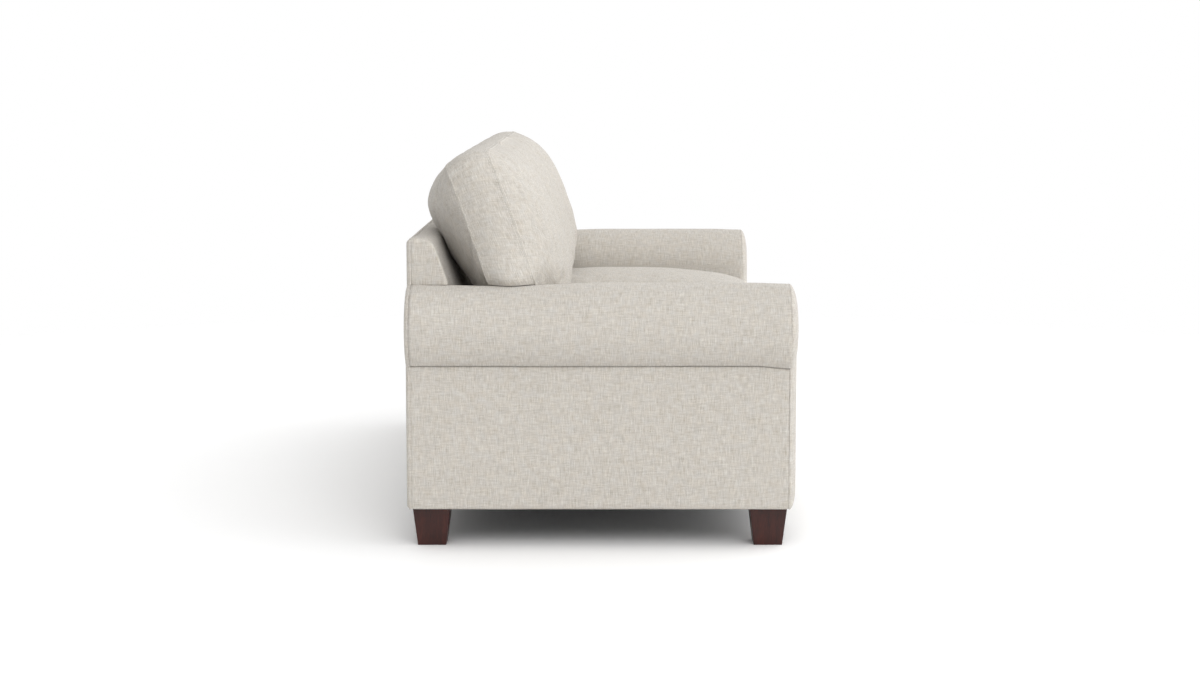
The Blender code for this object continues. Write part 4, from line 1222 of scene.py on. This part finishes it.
def sew(piece, node):
    """Shape the two seams of a cushion cover and lay a row of stitches on both sides of each."""
    bm = bmesh.new()
    bm.from_mesh(piece.data)
    mark = bm.edges.layers.float.get("seam")
    edges = [e for e in bm.edges if e[mark] > 0.5]
    loops = ordered_loops(edges)
    bmesh.ops.bevel(bm, geom=edges, offset=SEAM_CUT, segments=SEAM_CELLS, profile=0.5, affect="EDGES",
                    clamp_overlap=True, material=-1, loop_slide=True)
    seam = [point for loop in loops for point in resample(loop, SEAM_POINTS)]
    tree = KDTree(len(seam))
    for number, point in enumerate(seam):
        tree.insert(point, number)
    tree.balance()
    bm.normal_update()
    sewn = bm.verts.layers.float.new("sewn")
    for vert in bm.verts:
        away = vert.co - tree.find(vert.co)[0]
        distance = (away - vert.normal * away.dot(vert.normal)).length
        vert.co += vert.normal * CRUMPLE * noise.noise(vert.co * CRUMPLE_COUNT)
        if distance < SEAM_REACH and away.length < 2 * SEAM_REACH:
            ridge, groove = seam_relief(distance)
            # the cloth material paints a highlight on the ridges and shade in the groove from this value
            vert[sewn] = ridge - groove
            vert.co += vert.normal * (RIDGE_HIGH * ridge - GROOVE_DEEP * groove)
    bm.to_mesh(piece.data)
    bm.free()
    step = piece.modifiers.new("cloth", "SUBSURF")
    step.levels = step.render_levels = 1
    solved = piece.evaluated_get(bpy.context.evaluated_depsgraph_get())
    surface = BVHTree.FromPolygons([v.co for v in solved.data.vertices],
                                   [p.vertices for p in solved.data.polygons])
    lines = bpy.data.curves.new("stitch lines", "CURVE")
    lines.dimensions = "3D"
    lines.bevel_depth = STITCH_THICK / 2
    lines.bevel_resolution = 1
    lines.use_fill_caps = True
    for loop in loops:
        points = resample(loop, STITCH_PITCH)
        for before, here, after in zip(points[-1:] + points, points, points[1:] + points[:1]):
            along = (after - before).normalized()
            beside = along.cross(surface.find_nearest(here)[1]).normalized()
            for side in (-1, 1):
                place, normal, _, _ = surface.find_nearest(here + beside * STITCH_LINE * side)
                stitch = lines.splines.new("POLY")
                stitch.points.add(2)
                reach = along * STITCH_PITCH * STITCH_SHARE / 2
                for point, way, lift in zip(stitch.points, (-reach, reach * 0, reach), STITCH_LIFTS):
                    point.co = (*(place + way + normal * STITCH_THICK * lift), 1.0)
    drawn = bpy.data.objects.new("stitch lines", lines)
    bpy.context.scene.collection.objects.link(drawn)
    mesh = bpy.data.meshes.new_from_object(drawn.evaluated_get(bpy.context.evaluated_depsgraph_get()))
    bpy.data.objects.remove(drawn)
    stitches = bmesh.new()
    stitches.from_mesh(mesh)
    bpy.data.meshes.remove(mesh)
    close_piece(piece.name.replace("_cover", "_stitching"), stitches, thread, body=node)


print("stitches every", STITCH_PITCH, "along", STITCH_LINE, "from the seam's groove")

# %% [markdown]
# ### Six cushions
# Three seat cushions and three back cushions are made in the same way, each on a body of its own, so
# that it can be lifted out. The seat is stuffed firm and the back softer, so the back cushions get more
# slack and swell more.


# %% Make a cushion
def cushion(name, node, form, keep, held, sizes, pressure, slack):
    """One boxed cushion: cut, shaped, inflated and sewn."""
    bm = cushion_grid()
    bm.normal_update()
    cushion_lay(bm, *sizes)
    mark = bm.edges.layers.float.new("seam")
    for edge in seam_edges(bm):
        edge[mark] = 1.0
    bm.verts.index_update()
    on_seam = {v.index for e in bm.edges if e[mark] > 0.5 for v in e.verts}
    holds = [0.0] * len(bm.verts)
    for vert in bm.verts:
        across, deep, up = vert.co
        vert.co = keep(form(across, deep, up))
        hold = SEAM_HOLD if vert.index in on_seam else BAND_HOLD if abs(up) < FACE else 0.0
        holds[vert.index] = max(hold, held(vert.co, up))
    piece = close_piece(name, bm, cushion_cloth, body=node, replaces=(node,))
    inflate(piece, holds, keep, pressure, slack)
    sew(piece, node)
    return piece


print("a cushion is cut, shaped, inflated and sewn")

# %% What stands round a cushion
SIDE_GAP = 0.002             # between two back cushions
SIDE_ROOM = 0.0007           # how far a cushion may swell towards the next one
ARM_ROOM = 0.05              # and over an arm
FEEL = 0.004                 # a neighbour that is nearer than this is leant on


def keep_seat(middle, half):
    """Keep a point of a seat cushion on the deck, in front of the back and off its neighbours."""
    def keep(co):
        co.z = max(co.z, seat_low.z)
        co.x = min(max(co.x, middle - half - SIDE_ROOM), middle + half + SIDE_ROOM)
        co.y = min(co.y, back_face(co.z) - CUSHION_CLEARANCE / 2)
        return co
    return keep


def keep_back(middle, half, label):
    """Keep a point of a back cushion clear of what it leans on and of its neighbours."""
    def keep(co):
        low = middle - half - (SIDE_ROOM if label != "left" else ARM_ROOM)
        high = middle + half + (SIDE_ROOM if label != "right" else ARM_ROOM)
        co.x = min(max(co.x, low), high)
        return press(co)
    return keep


def rests(co, up):
    """How firmly a back cushion is held: much where it leans on the back or stands on the seat."""
    for way in (Vector((0, FEEL, 0)), Vector((0, 0, -FEEL))):
        if (press(co + way) - co - way).length > FEEL / 4:
            return LEAN_HOLD
    return 0.0


def on_deck(co, up):
    """A seat cushion is held by its underside, which stands on the deck."""
    return 1.0 if up < -FACE else 0.0


print("cushions keep", SIDE_GAP, "apart")

# %% Make the six cushions
seat_half = (seat_high.x - seat_low.x) / 2
seat_depth = back_face(seat_low.z + SEAT_BOXING) - seat_low.y
lean_low, lean_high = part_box("centre_back_cushion")
back_half = (lean_high.x - lean_low.x) / 2
for label, place in (("left", -1), ("centre", 0), ("right", 1)):
    node = label + "_seat_cushion"
    low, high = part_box(node)
    middle = (low.x + high.x) / 2
    cushion(label + "_seat_cushion_cover", node,
            lambda across, deep, up: seat_form(across, deep, up) + Vector((middle, 0, 0)),
            keep_seat(middle, seat_half), on_deck,
            (seat_half, seat_depth, SEAT_BOXING), pressure=1.2, slack=0.010)
    node = label + "_back_cushion"
    middle = place * (2 * back_half + SIDE_GAP)
    cushion(label + "_back_cushion_cover", node,
            lambda across, deep, up: back_form(across, deep, up, back_half, middle),
            keep_back(middle, back_half, label), rests,
            (back_half, BACK_HEIGHT, BACK_BOXING), pressure=2.0, slack=0.012)
